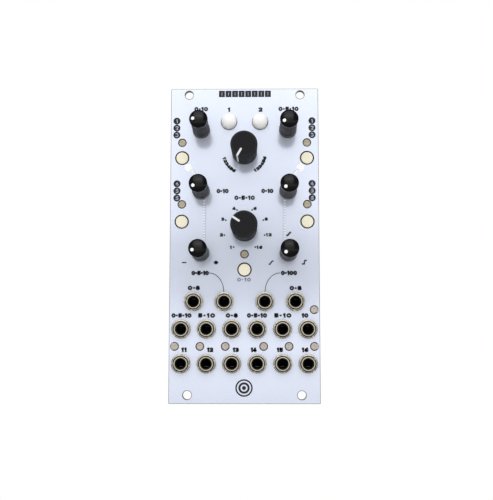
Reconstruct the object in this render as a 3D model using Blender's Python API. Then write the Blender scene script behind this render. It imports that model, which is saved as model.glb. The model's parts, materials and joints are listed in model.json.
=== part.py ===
"""A 12 HP rack module: eight turning controls, seven push buttons and sixteen 3.5 mm sockets on an aluminium panel.

Frame: +Z up, +X to the right of a person who faces the panel, +Y away from that person. The origin is the
centre of the four rack-screw holes, on the panel's rear face."""

import math

import bmesh
import bpy
from mathutils import Matrix, Vector

MM = 0.001

# Clearances
SEAT_GAP = 0.3 * MM
THREAD_GAP = 0.15 * MM
SHAFT_GAP = 0.15 * MM
OVERRUN = 0.5 * MM
WELD = 0.0001 * MM

# Panel, in the 3U format
HP = 5.08 * MM
PANEL_HP = 12
PANEL_SIDE_PLAY = 0.36 * MM
PANEL_WIDTH = PANEL_HP * HP - PANEL_SIDE_PLAY
PANEL_HEIGHT = 128.5 * MM
PANEL_THICKNESS = 2.0 * MM
RACK_HOLE_HP = 9
RACK_HOLE_MARGIN = 3.0 * MM
RACK_HOLE_SPACING_Z = PANEL_HEIGHT - 2 * RACK_HOLE_MARGIN
RACK_HOLE_RADIUS = 1.7 * MM
PANEL_DROP = 0.4 * MM
PANEL_MIDDLE_Z = -PANEL_DROP
RAIL_STRIP = 9.75 * MM
PANEL_FRONT = -PANEL_THICKNESS

# Circuit board
BOARD_STANDOFF = 10.0 * MM
BOARD_THICKNESS = 1.6 * MM
BOARD_INSET = 0.3 * MM
BOARD_WIDTH = PANEL_WIDTH - 2 * BOARD_INSET
BOARD_HEIGHT = PANEL_HEIGHT - 2 * RAIL_STRIP
BOARD_BACK = BOARD_STANDOFF + BOARD_THICKNESS
SOLDER_SINK = 0.1 * MM

# Sockets and their dress nuts
JACK_WIDTH = 9.0 * MM
JACK_SHORT_SIDE = 4.5 * MM
JACK_LONG_SIDE = 5.7 * MM
JACK_PITCH = 2 * HP
JACK_ROW_GAP = 0.8 * MM
BUSHING_RADIUS = 3.0 * MM
BUSHING_RISE = 2.4 * MM
BUSHING_EDGE = 0.3 * MM
BORE_RADIUS = 1.8 * MM
BORE_MOUTH_RADIUS = 2.25 * MM
BORE_MOUTH_DEPTH = 0.8 * MM
BORE_END_WALL = 1.2 * MM
NUT_RADIUS = 3.9 * MM
NUT_THICKNESS = 1.7 * MM
NUT_EDGE = 0.45 * MM
NUT_NOTCH_WIDTH = 1.0 * MM
NUT_NOTCH_DEPTH = 0.7 * MM
NUT_NOTCHES = 4
NUT_BACK = PANEL_FRONT - SEAT_GAP
BUSHING_HOLE_RADIUS = BUSHING_RADIUS + THREAD_GAP

# Indicator lights: a diode on the board with a clear column in the panel's hole
LIGHT_RADIUS = 1.5 * MM
LIGHT_GAP = 0.2 * MM
LIGHT_DOME = 0.5 * MM
LIGHT_SUNK = 0.2 * MM
LIGHT_SIDE_SHIFT = 2.6 * MM
LIGHT_LANE = 4.75 * MM
LIGHT_CORNER_ROOM = 0.6 * MM

# Tact switches and their caps
SWITCH_SIDE = 6.0 * MM
SWITCH_HEIGHT = 3.5 * MM
PLUNGER_RADIUS = 1.7 * MM
PLUNGER_RISE = 1.0 * MM
CAP_STEM_RADIUS = 1.7 * MM
CAP_FLANGE_RISE = 0.6 * MM
CAP_FLANGE_THICKNESS = 0.8 * MM
CAP_HOLE_GAP = 0.35 * MM
FLUSH_CAP_RADIUS = 2.5 * MM
FLUSH_CAP_RISE = 0.2 * MM
FLUSH_CAP_EDGE = 0.25 * MM
DOMED_CAP_RADIUS = 2.95 * MM
DOMED_CAP_STRAIGHT = 1.2 * MM
DOMED_CAP_DOME = 2.3 * MM

# Potentiometers
POT_WIDTH = 9.6 * MM
POT_ABOVE = 4.8 * MM
POT_BELOW = 6.5 * MM
POT_DEPTH = 6.8 * MM
POT_COLLAR_WALL = 0.9 * MM
POT_BORE_END_WALL = 0.8 * MM
SHAFT_RADIUS = 3.0 * MM
SHAFT_EDGE = 0.3 * MM
SHAFT_HOLE_GAP = 0.35 * MM
SHAFT_BORE_RADIUS = SHAFT_RADIUS + SHAFT_GAP
POT_BACK = BOARD_STANDOFF - SEAT_GAP
POT_FRONT = POT_BACK - POT_DEPTH
POT_BORE_END = POT_BACK - POT_BORE_END_WALL
SHAFT_END = POT_BORE_END - SEAT_GAP

# Large knobs
LARGE_KNOB_RADIUS = 5.35 * MM
LARGE_KNOB_TAPER = 0.25 * MM
LARGE_KNOB_HEIGHT = 15.5 * MM
LARGE_KNOB_LIFT = 0.6 * MM
LARGE_KNOB_EDGE = 0.35 * MM
LARGE_KNOB_BORE_DEPTH = 12.0 * MM
POINTER_WIDTH = 0.8 * MM
POINTER_DEPTH = 0.4 * MM
POINTER_START = 1.9 * MM
POINTER_SIDE_LENGTH = 13.0 * MM

# Slim knobs, each moulded in one with its shaft
SLIM_KNOB_RADIUS = 3.42 * MM
SLIM_KNOB_HEIGHT = 18.6 * MM
SLIM_KNOB_LIFT = 0.6 * MM
SLIM_DOME_RISE = 1.4 * MM
SLIM_DOME_RADIUS = 3.62 * MM
SLIM_DOME_BAND = 0.9 * MM
SLIM_RIM_RADIUS = 3.52 * MM
SLIM_RIM_HEIGHT = 1.3 * MM
DOT_RADIUS = 0.65 * MM
DOT_PLACE = 2.15 * MM
DOT_DEPTH = 0.9 * MM

# Power inlet on the back of the board
HEADER_PITCH = 2.54 * MM
HEADER_COLUMNS = 8
HEADER_ROWS = 2
HEADER_END_ROOM = 3.8 * MM
HEADER_SIDE_ROOM = 1.9 * MM
HEADER_WALL = 1.25 * MM
HEADER_HEIGHT = 9.1 * MM
HEADER_FLOOR = 2.6 * MM
HEADER_KEY_WIDTH = 4.5 * MM
PIN_SIDE = 0.64 * MM
PIN_RECESS = 0.8 * MM

# Places across the panel, as seen from the front
KNOB_COLUMN_X = 17.76 * MM
SIDE_COLUMN_X = 25.55 * MM
DOMED_BUTTON_X = 6.38 * MM
UPPER_JACK_X = 8.17 * MM
UPPER_JACK_PITCH = 12.3 * MM

# Heights above the origin and between rows, as shares of the panel's height
KNOB_TOP_ROW_SHARE = 46.45 / 128.5
KNOB_ROW_PITCH_SHARE = 25.4 / 128.5
LARGE_UPPER_SHARE = 36.93 / 128.5
LARGE_LOWER_SHARE = 5.31 / 128.5
SIDE_BUTTON_UPPER_SHARE = 34.77 / 128.5
SIDE_BUTTON_LOWER_SHARE = 8.46 / 128.5
CENTRE_BUTTON_SHARE = -11.12 / 128.5
DOMED_BUTTON_SHARE = 49.85 / 128.5
HEADER_SHARE = 16.5 / 128.5
KNOB_TOP_ROW_Z = KNOB_TOP_ROW_SHARE * PANEL_HEIGHT
KNOB_ROW_PITCH = KNOB_ROW_PITCH_SHARE * PANEL_HEIGHT
LARGE_UPPER_Z = LARGE_UPPER_SHARE * PANEL_HEIGHT
LARGE_LOWER_Z = LARGE_LOWER_SHARE * PANEL_HEIGHT
SIDE_BUTTON_UPPER_Z = SIDE_BUTTON_UPPER_SHARE * PANEL_HEIGHT
SIDE_BUTTON_LOWER_Z = SIDE_BUTTON_LOWER_SHARE * PANEL_HEIGHT
CENTRE_BUTTON_Z = CENTRE_BUTTON_SHARE * PANEL_HEIGHT
DOMED_BUTTON_Z = DOMED_BUTTON_SHARE * PANEL_HEIGHT
HEADER_Z = HEADER_SHARE * PANEL_HEIGHT
SIDE_LIGHT_UPPER_RISE = 6.4 * MM
SIDE_LIGHT_LOWER_RISE = 7.12 * MM
CENTRE_LIGHT_RISE = 6.26 * MM

# Rows of sockets and lights, counted up from the board's lower edge
JACK_EDGE_ROOM = 0.37 * MM
BOARD_LOW_Z = PANEL_MIDDLE_Z - BOARD_HEIGHT / 2
LOWER_JACK_Z = BOARD_LOW_Z + JACK_EDGE_ROOM + JACK_LONG_SIDE
LIGHT_ROW_Z = LOWER_JACK_Z + JACK_SHORT_SIDE + LIGHT_LANE / 2
MIDDLE_JACK_Z = LIGHT_ROW_Z + LIGHT_LANE / 2 + JACK_SHORT_SIDE
UPPER_JACK_Z = MIDDLE_JACK_Z + JACK_LONG_SIDE + JACK_ROW_GAP + JACK_SHORT_SIDE

# Knob pointers at rest, in degrees clockwise from twelve o'clock
LARGE_UPPER_ANGLE = -150
LARGE_LOWER_ANGLE = -57
SLIM_ANGLES = {
    ("upper", "left"): -90, ("upper", "right"): -116,
    ("middle", "left"): -119, ("middle", "right"): -136,
    ("lower", "left"): -108, ("lower", "right"): -134,
}

# Nuts are tightened to no common angle, in degrees
NUT_TURNS = (12, 37, 61, 5, 48, 71, 22, 84, 30, 55, 8, 66, 41, 17, 77, 52)

# Solder joints on the back of the board, where the legs of the front's parts come through
JOINT_RADIUS = 0.95 * MM
JOINT_TIP_RADIUS = 0.4 * MM
JOINT_RISE = 0.9 * MM
JACK_LEG_SHARES = (-0.87, 0.33, 0.86)
POT_LEG_PITCH = 2.5 * MM
POT_LEG_INSET = 0.25 * MM
POT_LUG_INSET = 0.4 * MM
POT_LUG_RISE = 1.1 * MM
SWITCH_LEG_OUT = 0.25 * MM
SWITCH_LEG_PITCH = 4.5 * MM
LIGHT_LEG_PITCH = 2.54 * MM

# Chips on the back of the board
PROCESSOR_SIDE = 10.0 * MM
PROCESSOR_HEIGHT = 1.4 * MM
CONVERTER_LENGTH = 9.7 * MM
CONVERTER_WIDTH = 4.4 * MM
AMPLIFIER_LENGTH = 3.9 * MM
AMPLIFIER_WIDTH = 8.7 * MM
REGULATOR_LENGTH = 3.5 * MM
REGULATOR_WIDTH = 6.5 * MM
CRYSTAL_LENGTH = 3.2 * MM
CRYSTAL_WIDTH = 5.0 * MM
CHIP_HEIGHT = 1.6 * MM
CAPACITOR_RADIUS = 3.15 * MM
CAPACITOR_HEIGHT = 5.4 * MM
PROCESSOR_SHARES = ((0.46, 0.11),)
CONVERTER_SHARES = ((-0.587, 0.116), (-0.353, 0.116))
AMPLIFIER_SHARES = ((-0.83, -0.27), (-0.31, -0.27), (0.31, -0.27), (0.83, -0.27))
REGULATOR_SHARES = ((-0.52, 0.64), (0.52, 0.64))
CRYSTAL_SHARES = ((0.78, 0.04),)
CAPACITOR_SHARES = ((-0.66, 0.5), (0.66, 0.5))

# Facets of the round pieces
JACK_SIDES = 16
BORE_SIDES = 12
KNOB_SIDES = 28
SLIM_SIDES = 20
CAP_SIDES = 16
LIGHT_SIDES = 12
DOT_SIDES = 10
JOINT_SIDES = 6
HOLE_SIDES = 16
SMOOTH_BELOW = math.radians(40)


def empty_scene():
    for thing in list(bpy.data.objects):
        bpy.data.objects.remove(thing, do_unlink=True)


def finish(name, colour, roughness, metallic=0.0):
    """A Principled material of one colour."""
    made = bpy.data.materials.new(name)
    made.use_nodes = True
    shader = made.node_tree.nodes["Principled BSDF"]
    shader.inputs["Base Color"].default_value = (*colour, 1.0)
    shader.inputs["Roughness"].default_value = roughness
    shader.inputs["Metallic"].default_value = metallic
    return made


def add_turned(bm, profile, sides, x=0.0, z=0.0):
    """Adds the solid that a profile of (radius, y) points makes, turned about the line along Y through x, z."""
    points = [bm.verts.new((radius, y, 0.0)) for radius, y in profile]
    ends = points[1:] if profile[0][0] == 0 else points[1:] + points[:1]
    edges = [bm.edges.new(pair) for pair in zip(points, ends)]
    bmesh.ops.spin(bm, geom=points + edges, cent=(0, 0, 0), axis=(0, 1, 0), dvec=(0, 0, 0),
                   angle=2 * math.pi, steps=sides, use_merge=True, use_duplicate=False)
    rings = [vert for vert in bm.verts if not vert.tag]
    bmesh.ops.remove_doubles(bm, verts=rings, dist=WELD)
    for vert in bm.verts:
        if not vert.tag:
            vert.co += Vector((x, 0, z))
            vert.tag = True


def add_round(bm, radius, front, back, sides, x=0.0, z=0.0):
    """Adds a cylinder along Y."""
    add_turned(bm, ((0, front), (radius, front), (radius, back), (0, back)), sides, x, z)


def add_box(bm, low, high):
    """Adds a box from its lowest to its highest corner."""
    middle = (Vector(low) + Vector(high)) / 2
    size = Vector(high) - Vector(low)
    made = bmesh.ops.create_cube(bm, size=1.0, matrix=Matrix.LocRotScale(middle, None, size))
    for vert in made["verts"]:
        vert.tag = True


def mesh_from(bm, name):
    """Turns a bmesh into a mesh with its faces pointing out, smooth but for its sharp edges."""
    bmesh.ops.recalc_face_normals(bm, faces=bm.faces)
    mesh = bpy.data.meshes.new(name)
    bm.to_mesh(mesh)
    bm.free()
    return mesh


def shade(mesh):
    mesh.shade_smooth()
    mesh.set_sharp_from_angle(angle=SMOOTH_BELOW)


def place(name, mesh, material, location=(0, 0, 0), turn=0.0):
    """Puts a named object in the scene, turned clockwise about Y as seen from the front."""
    made = bpy.data.objects.new(name, mesh)
    bpy.context.scene.collection.objects.link(made)
    made.location = location
    made.rotation_euler = (0, turn, 0)
    if not mesh.materials:
        mesh.materials.append(material)
    return made


def combine(target, bm, operation):
    """Cuts a shape out of an object, or joins it to the object, and keeps the result as the object's mesh."""
    tool = bpy.data.objects.new(target.name + "_tool", mesh_from(bm, target.name + "_tool"))
    bpy.context.scene.collection.objects.link(tool)
    tool.hide_render = True
    tool.display_type = "WIRE"
    change = target.modifiers.new(operation.title(), "BOOLEAN")
    change.operation = operation
    change.solver = "EXACT"
    change.use_self = operation == "UNION"
    change.object = tool
    graph = bpy.context.evaluated_depsgraph_get()
    result = bpy.data.meshes.new_from_object(target.evaluated_get(graph))
    target.modifiers.clear()
    target.data = result
    bpy.data.objects.remove(tool, do_unlink=True)


def jack_places():
    """Name, x, z and whether the socket is turned upside down, row by row from the left."""
    found = []
    uppers = (-UPPER_JACK_X - UPPER_JACK_PITCH, -UPPER_JACK_X, UPPER_JACK_X, UPPER_JACK_X + UPPER_JACK_PITCH)
    for number, x in enumerate(uppers, 1):
        found.append((f"upper_{number}", x, UPPER_JACK_Z, False))
    for number, x in enumerate(jack_columns(), 1):
        found.append((f"middle_{number}", x, MIDDLE_JACK_Z, False))
    for number, x in enumerate(jack_columns(), 1):
        found.append((f"lower_{number}", x, LOWER_JACK_Z, True))
    return found


def jack_columns():
    columns = PANEL_HP // 2
    return [(number - (columns - 1) / 2) * JACK_PITCH for number in range(columns)]


def light_places():
    """Centres of the indicator lights."""
    found = []
    for x in jack_columns():
        found.append((x + math.copysign(LIGHT_SIDE_SHIFT, x), LIGHT_ROW_Z))
    corner_z = MIDDLE_JACK_Z + JACK_LONG_SIDE + LIGHT_CORNER_ROOM + LIGHT_RADIUS
    found.append((jack_columns()[-1] + LIGHT_SIDE_SHIFT, corner_z))
    for side in (-1, 1):
        found.append((side * SIDE_COLUMN_X, SIDE_BUTTON_UPPER_Z + SIDE_LIGHT_UPPER_RISE))
        found.append((side * SIDE_COLUMN_X, SIDE_BUTTON_LOWER_Z + SIDE_LIGHT_LOWER_RISE))
    found.append((0.0, CENTRE_BUTTON_Z + CENTRE_LIGHT_RISE))
    return found


def flush_button_places():
    """Name and centre of each flush button."""
    return [
        ("upper_left", -SIDE_COLUMN_X, SIDE_BUTTON_UPPER_Z),
        ("upper_right", SIDE_COLUMN_X, SIDE_BUTTON_UPPER_Z),
        ("lower_left", -SIDE_COLUMN_X, SIDE_BUTTON_LOWER_Z),
        ("lower_right", SIDE_COLUMN_X, SIDE_BUTTON_LOWER_Z),
        ("centre", 0.0, CENTRE_BUTTON_Z),
    ]


def domed_button_places():
    return [("left", -DOMED_BUTTON_X, DOMED_BUTTON_Z), ("right", DOMED_BUTTON_X, DOMED_BUTTON_Z)]


def large_knob_places():
    return [("upper", 0.0, LARGE_UPPER_Z, LARGE_UPPER_ANGLE), ("lower", 0.0, LARGE_LOWER_Z, LARGE_LOWER_ANGLE)]


def slim_knob_places():
    found = []
    for number, row in enumerate(("upper", "middle", "lower")):
        z = KNOB_TOP_ROW_Z - number * KNOB_ROW_PITCH
        for side, x in (("left", -KNOB_COLUMN_X), ("right", KNOB_COLUMN_X)):
            found.append((f"{row}_{side}", x, z, SLIM_ANGLES[row, side]))
    return found


def joint_places():
    """Where the legs of sockets, potentiometers, switches and lights come through the board."""
    found = []
    for _, x, z, turned in jack_places():
        for share in JACK_LEG_SHARES:
            rise = share * (JACK_LONG_SIDE if share > 0 else JACK_SHORT_SIDE)
            found.append((x, z - rise if turned else z + rise))
    for _, x, z, _ in large_knob_places() + slim_knob_places():
        for number in (-1, 0, 1):
            found.append((x + number * POT_LEG_PITCH, z - POT_BELOW + POT_LEG_INSET))
        for side in (-1, 1):
            found.append((x + side * (POT_WIDTH / 2 - POT_LUG_INSET), z + POT_LUG_RISE))
    for _, x, z in flush_button_places() + domed_button_places():
        for side_x in (-1, 1):
            for side_z in (-1, 1):
                found.append((x + side_x * (SWITCH_SIDE / 2 + SWITCH_LEG_OUT), z + side_z * SWITCH_LEG_PITCH / 2))
    for x, z in light_places():
        for side in (-1, 1):
            found.append((x, z + side * LIGHT_LEG_PITCH / 2))
    return found


def front_panel(material):
    """Flat sheet with a hole for each control, socket, light and rack screw."""
    sheet = bmesh.new()
    half_width = PANEL_WIDTH / 2
    low = PANEL_MIDDLE_Z - PANEL_HEIGHT / 2
    high = PANEL_MIDDLE_Z + PANEL_HEIGHT / 2
    add_box(sheet, (-half_width, PANEL_FRONT, low), (half_width, 0, high))
    panel = place("front_panel", mesh_from(sheet, "front_panel"), material)
    holes = bmesh.new()

    def hole(x, z, radius, sides):
        add_round(holes, radius, PANEL_FRONT - OVERRUN, OVERRUN, sides, x, z)

    for side_x in (-1, 1):
        for side_z in (-1, 1):
            hole(side_x * RACK_HOLE_HP * HP / 2, side_z * RACK_HOLE_SPACING_Z / 2, RACK_HOLE_RADIUS, BORE_SIDES)
    for _, x, z, _ in jack_places():
        hole(x, z, BUSHING_HOLE_RADIUS, JACK_SIDES)
    for x, z in light_places():
        hole(x, z, LIGHT_RADIUS + LIGHT_GAP, LIGHT_SIDES)
    for _, x, z in flush_button_places():
        hole(x, z, FLUSH_CAP_RADIUS + CAP_HOLE_GAP, CAP_SIDES)
    for _, x, z in domed_button_places():
        hole(x, z, DOMED_CAP_RADIUS + CAP_HOLE_GAP, CAP_SIDES)
    for _, x, z, _ in large_knob_places() + slim_knob_places():
        hole(x, z, SHAFT_RADIUS + SHAFT_HOLE_GAP, HOLE_SIDES)
    combine(panel, holes, "DIFFERENCE")
    shade(panel.data)


def add_chips(bm):
    """Adds the chips and capacitors on the back of the board."""
    base = BOARD_BACK - SOLDER_SINK
    kinds = (
        (PROCESSOR_SHARES, PROCESSOR_SIDE, PROCESSOR_SIDE, PROCESSOR_HEIGHT),
        (CONVERTER_SHARES, CONVERTER_WIDTH, CONVERTER_LENGTH, CHIP_HEIGHT),
        (AMPLIFIER_SHARES, AMPLIFIER_WIDTH, AMPLIFIER_LENGTH, CHIP_HEIGHT),
        (REGULATOR_SHARES, REGULATOR_WIDTH, REGULATOR_LENGTH, CHIP_HEIGHT),
        (CRYSTAL_SHARES, CRYSTAL_WIDTH, CRYSTAL_LENGTH, CHIP_HEIGHT),
    )
    for shares, width, length, height in kinds:
        for share_x, share_z in shares:
            x = share_x * BOARD_WIDTH / 2
            z = PANEL_MIDDLE_Z + share_z * BOARD_HEIGHT / 2
            top = BOARD_BACK + height
            add_box(bm, (x - width / 2, base, z - length / 2), (x + width / 2, top, z + length / 2))
    for share_x, share_z in CAPACITOR_SHARES:
        x = share_x * BOARD_WIDTH / 2
        z = PANEL_MIDDLE_Z + share_z * BOARD_HEIGHT / 2
        add_round(bm, CAPACITOR_RADIUS, base, BOARD_BACK + CAPACITOR_HEIGHT, LIGHT_SIDES, x, z)


def control_board(material):
    """Circuit board with the parts soldered to it: switches, lights and chips."""
    sheet = bmesh.new()
    half_width = BOARD_WIDTH / 2
    add_box(sheet, (-half_width, BOARD_STANDOFF, BOARD_LOW_Z),
            (half_width, BOARD_BACK, BOARD_LOW_Z + BOARD_HEIGHT))
    board = place("control_board", mesh_from(sheet, "control_board"), material)
    soldered = bmesh.new()
    root = BOARD_STANDOFF + SOLDER_SINK
    front = PANEL_FRONT + LIGHT_SUNK
    shoulder = front + LIGHT_DOME
    lens = LIGHT_RADIUS - LIGHT_DOME
    light = ((0, front), (lens, front), (LIGHT_RADIUS, shoulder), (LIGHT_RADIUS, root), (0, root))
    for x, z in light_places():
        add_turned(soldered, light, LIGHT_SIDES, x, z)
    body = BOARD_STANDOFF - SWITCH_HEIGHT
    half = SWITCH_SIDE / 2
    for _, x, z in flush_button_places() + domed_button_places():
        add_box(soldered, (x - half, body, z - half), (x + half, root, z + half))
    foot, tip = BOARD_BACK - SOLDER_SINK, BOARD_BACK + JOINT_RISE
    joint = ((0, foot), (JOINT_RADIUS, foot), (JOINT_TIP_RADIUS, tip), (0, tip))
    for x, z in joint_places():
        add_turned(soldered, joint, JOINT_SIDES, x, z)
    combine(board, soldered, "UNION")
    chips = bmesh.new()
    add_chips(chips)
    combine(board, chips, "UNION")
    plungers = bmesh.new()
    for _, x, z in flush_button_places() + domed_button_places():
        add_round(plungers, PLUNGER_RADIUS, body - PLUNGER_RISE, body + SOLDER_SINK, LIGHT_SIDES, x, z)
    combine(board, plungers, "UNION")
    shade(board.data)


def power_header(shell_material):
    """Shrouded pin header, open towards the back."""
    floor_y = BOARD_BACK + SEAT_GAP
    inner_x = (HEADER_COLUMNS - 1) * HEADER_PITCH / 2 + HEADER_END_ROOM
    inner_z = (HEADER_ROWS - 1) * HEADER_PITCH / 2 + HEADER_SIDE_ROOM
    outer_x = inner_x + HEADER_WALL
    outer_z = inner_z + HEADER_WALL
    top = floor_y + HEADER_HEIGHT
    cavity = floor_y + HEADER_FLOOR
    shell = bmesh.new()
    add_box(shell, (-outer_x, floor_y, HEADER_Z - outer_z), (outer_x, top, HEADER_Z + outer_z))
    header = place("power_header", mesh_from(shell, "power_header"), shell_material)
    room = bmesh.new()
    add_box(room, (-inner_x, cavity, HEADER_Z - inner_z), (inner_x, top + OVERRUN, HEADER_Z + inner_z))
    combine(header, room, "DIFFERENCE")
    key = bmesh.new()
    half_key = HEADER_KEY_WIDTH / 2
    add_box(key, (-half_key, cavity, HEADER_Z - outer_z - OVERRUN), (half_key, top + OVERRUN, HEADER_Z))
    combine(header, key, "DIFFERENCE")
    pins = bmesh.new()
    half_pin = PIN_SIDE / 2
    for column in range(HEADER_COLUMNS):
        x = (column - (HEADER_COLUMNS - 1) / 2) * HEADER_PITCH
        for row in range(HEADER_ROWS):
            z = HEADER_Z + (row - (HEADER_ROWS - 1) / 2) * HEADER_PITCH
            low = (x - half_pin, cavity - OVERRUN, z - half_pin)
            add_box(pins, low, (x + half_pin, top - PIN_RECESS, z + half_pin))
    combine(header, pins, "UNION")
    shade(header.data)


def potentiometers(material):
    """Potentiometer bodies, each a box with a round collar that the shaft turns in."""
    box = bmesh.new()
    add_box(box, (-POT_WIDTH / 2, POT_FRONT, -POT_BELOW), (POT_WIDTH / 2, POT_BACK, POT_ABOVE))
    places = [("large_" + name, x, z) for name, x, z, _ in large_knob_places()]
    places += [("slim_" + name, x, z) for name, x, z, _ in slim_knob_places()]
    first, x, z = places[0]
    pattern = place("potentiometer_" + first, mesh_from(box, "potentiometer"), material)
    collar = bmesh.new()
    add_round(collar, SHAFT_BORE_RADIUS + POT_COLLAR_WALL, SEAT_GAP, POT_FRONT + OVERRUN, HOLE_SIDES)
    combine(pattern, collar, "UNION")
    bore = bmesh.new()
    add_round(bore, SHAFT_BORE_RADIUS, SEAT_GAP - OVERRUN, POT_BORE_END, HOLE_SIDES)
    combine(pattern, bore, "DIFFERENCE")
    shade(pattern.data)
    pattern.location = (x, 0, z)
    for name, x, z in places[1:]:
        place("potentiometer_" + name, pattern.data, material, (x, 0, z))


def large_knobs(material):
    """Two round knobs with a pointer groove across the face and down the side."""
    back = PANEL_FRONT - LARGE_KNOB_LIFT
    face = back - LARGE_KNOB_HEIGHT
    base = LARGE_KNOB_RADIUS - LARGE_KNOB_TAPER
    bore = SHAFT_BORE_RADIUS
    bore_end = back - LARGE_KNOB_BORE_DEPTH
    body = bmesh.new()
    add_turned(body, (
        (0, face), (LARGE_KNOB_RADIUS - LARGE_KNOB_EDGE, face), (LARGE_KNOB_RADIUS, face + LARGE_KNOB_EDGE),
        (base, back), (bore, back), (bore, bore_end), (0, bore_end),
    ), KNOB_SIDES)
    first, x, z, angle = large_knob_places()[0]
    pattern = place("knob_large_" + first, mesh_from(body, "knob_large"), material)
    groove = bmesh.new()
    half = POINTER_WIDTH / 2
    outside = LARGE_KNOB_RADIUS + OVERRUN
    add_box(groove, (-half, face - OVERRUN, POINTER_START), (half, face + POINTER_DEPTH, outside))
    combine(pattern, groove, "DIFFERENCE")
    side = bmesh.new()
    inside = LARGE_KNOB_RADIUS - POINTER_DEPTH
    add_box(side, (-half, face - OVERRUN, inside), (half, face + POINTER_SIDE_LENGTH, outside))
    combine(pattern, side, "DIFFERENCE")
    shade(pattern.data)
    pattern.location = (x, 0, z)
    pattern.rotation_euler = (0, math.radians(angle), 0)
    for name, x, z, angle in large_knob_places()[1:]:
        place("knob_large_" + name, pattern.data, material, (x, 0, z), math.radians(angle))


def large_shafts(material):
    """Shafts of the two large potentiometers, pressed into the knobs."""
    start = PANEL_FRONT - LARGE_KNOB_LIFT - LARGE_KNOB_BORE_DEPTH + SEAT_GAP
    rod = bmesh.new()
    add_turned(rod, (
        (0, start), (SHAFT_RADIUS - SHAFT_EDGE, start), (SHAFT_RADIUS, start + SHAFT_EDGE),
        (SHAFT_RADIUS, SHAFT_END), (0, SHAFT_END),
    ), HOLE_SIDES)
    mesh = mesh_from(rod, "shaft_large")
    shade(mesh)
    for name, x, z, angle in large_knob_places():
        place("shaft_large_" + name, mesh, material, (x, 0, z), math.radians(angle))


def slim_knobs(material):
    """Six slim domed knobs with their shafts, and a small pit for the dot."""
    back = PANEL_FRONT - SLIM_KNOB_LIFT
    top = back - SLIM_KNOB_HEIGHT
    dome = top + SLIM_DOME_RISE
    band = dome + SLIM_DOME_BAND
    rim = back - SLIM_RIM_HEIGHT
    steps = 3
    arc = []
    for number in range(steps + 1):
        turn = number / steps * math.pi / 2
        arc.append((SLIM_DOME_RADIUS * math.sin(turn), dome - SLIM_DOME_RISE * math.cos(turn)))
    arc[0] = (0, top)
    body = bmesh.new()
    add_turned(body, (
        *arc, (SLIM_DOME_RADIUS, band), (SLIM_KNOB_RADIUS, band), (SLIM_KNOB_RADIUS, rim),
        (SLIM_RIM_RADIUS, rim), (SLIM_RIM_RADIUS, back), (SHAFT_RADIUS, back),
        (SHAFT_RADIUS, SHAFT_END), (0, SHAFT_END),
    ), SLIM_SIDES)
    first, x, z, angle = slim_knob_places()[0]
    pattern = place("knob_slim_" + first, mesh_from(body, "knob_slim"), material)
    pit = bmesh.new()
    add_round(pit, DOT_RADIUS, top - OVERRUN, top + DOT_DEPTH, DOT_SIDES, 0, DOT_PLACE)
    combine(pattern, pit, "DIFFERENCE")
    shade(pattern.data)
    pattern.location = (x, 0, z)
    pattern.rotation_euler = (0, math.radians(angle), 0)
    for name, x, z, angle in slim_knob_places()[1:]:
        place("knob_slim_" + name, pattern.data, material, (x, 0, z), math.radians(angle))


def cap_profile(front_points, radius):
    """Profile of a button cap: its front, then a flange behind the panel and a stem down to the switch."""
    flange = SEAT_GAP
    flange_back = flange + CAP_FLANGE_THICKNESS
    stem_end = BOARD_STANDOFF - SWITCH_HEIGHT - PLUNGER_RISE - SEAT_GAP
    flange_radius = radius + CAP_HOLE_GAP + CAP_FLANGE_RISE
    return (*front_points, (radius, flange), (flange_radius, flange), (flange_radius, flange_back),
            (CAP_STEM_RADIUS, flange_back), (CAP_STEM_RADIUS, stem_end), (0, stem_end))


def flush_buttons(material):
    """Five flat caps that lie about level with the panel."""
    front = PANEL_FRONT - FLUSH_CAP_RISE
    edge = FLUSH_CAP_RADIUS - FLUSH_CAP_EDGE
    points = ((0, front), (edge, front), (FLUSH_CAP_RADIUS, front + FLUSH_CAP_EDGE))
    cap = bmesh.new()
    add_turned(cap, cap_profile(points, FLUSH_CAP_RADIUS), CAP_SIDES)
    mesh = mesh_from(cap, "button_flush")
    shade(mesh)
    for name, x, z in flush_button_places():
        place("button_flush_" + name, mesh, material, (x, 0, z))


def domed_buttons(material):
    """Two domed caps that stand out of the panel."""
    shoulder = PANEL_FRONT - DOMED_CAP_STRAIGHT
    steps = 4
    points = []
    for number in range(steps + 1):
        turn = number / steps * math.pi / 2
        points.append((DOMED_CAP_RADIUS * math.sin(turn), shoulder - DOMED_CAP_DOME * math.cos(turn)))
    points[0] = (0, shoulder - DOMED_CAP_DOME)
    cap = bmesh.new()
    add_turned(cap, cap_profile(points, DOMED_CAP_RADIUS), CAP_SIDES)
    mesh = mesh_from(cap, "button_domed")
    shade(mesh)
    for name, x, z in domed_button_places():
        place("button_domed_" + name, mesh, material, (x, 0, z))


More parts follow.
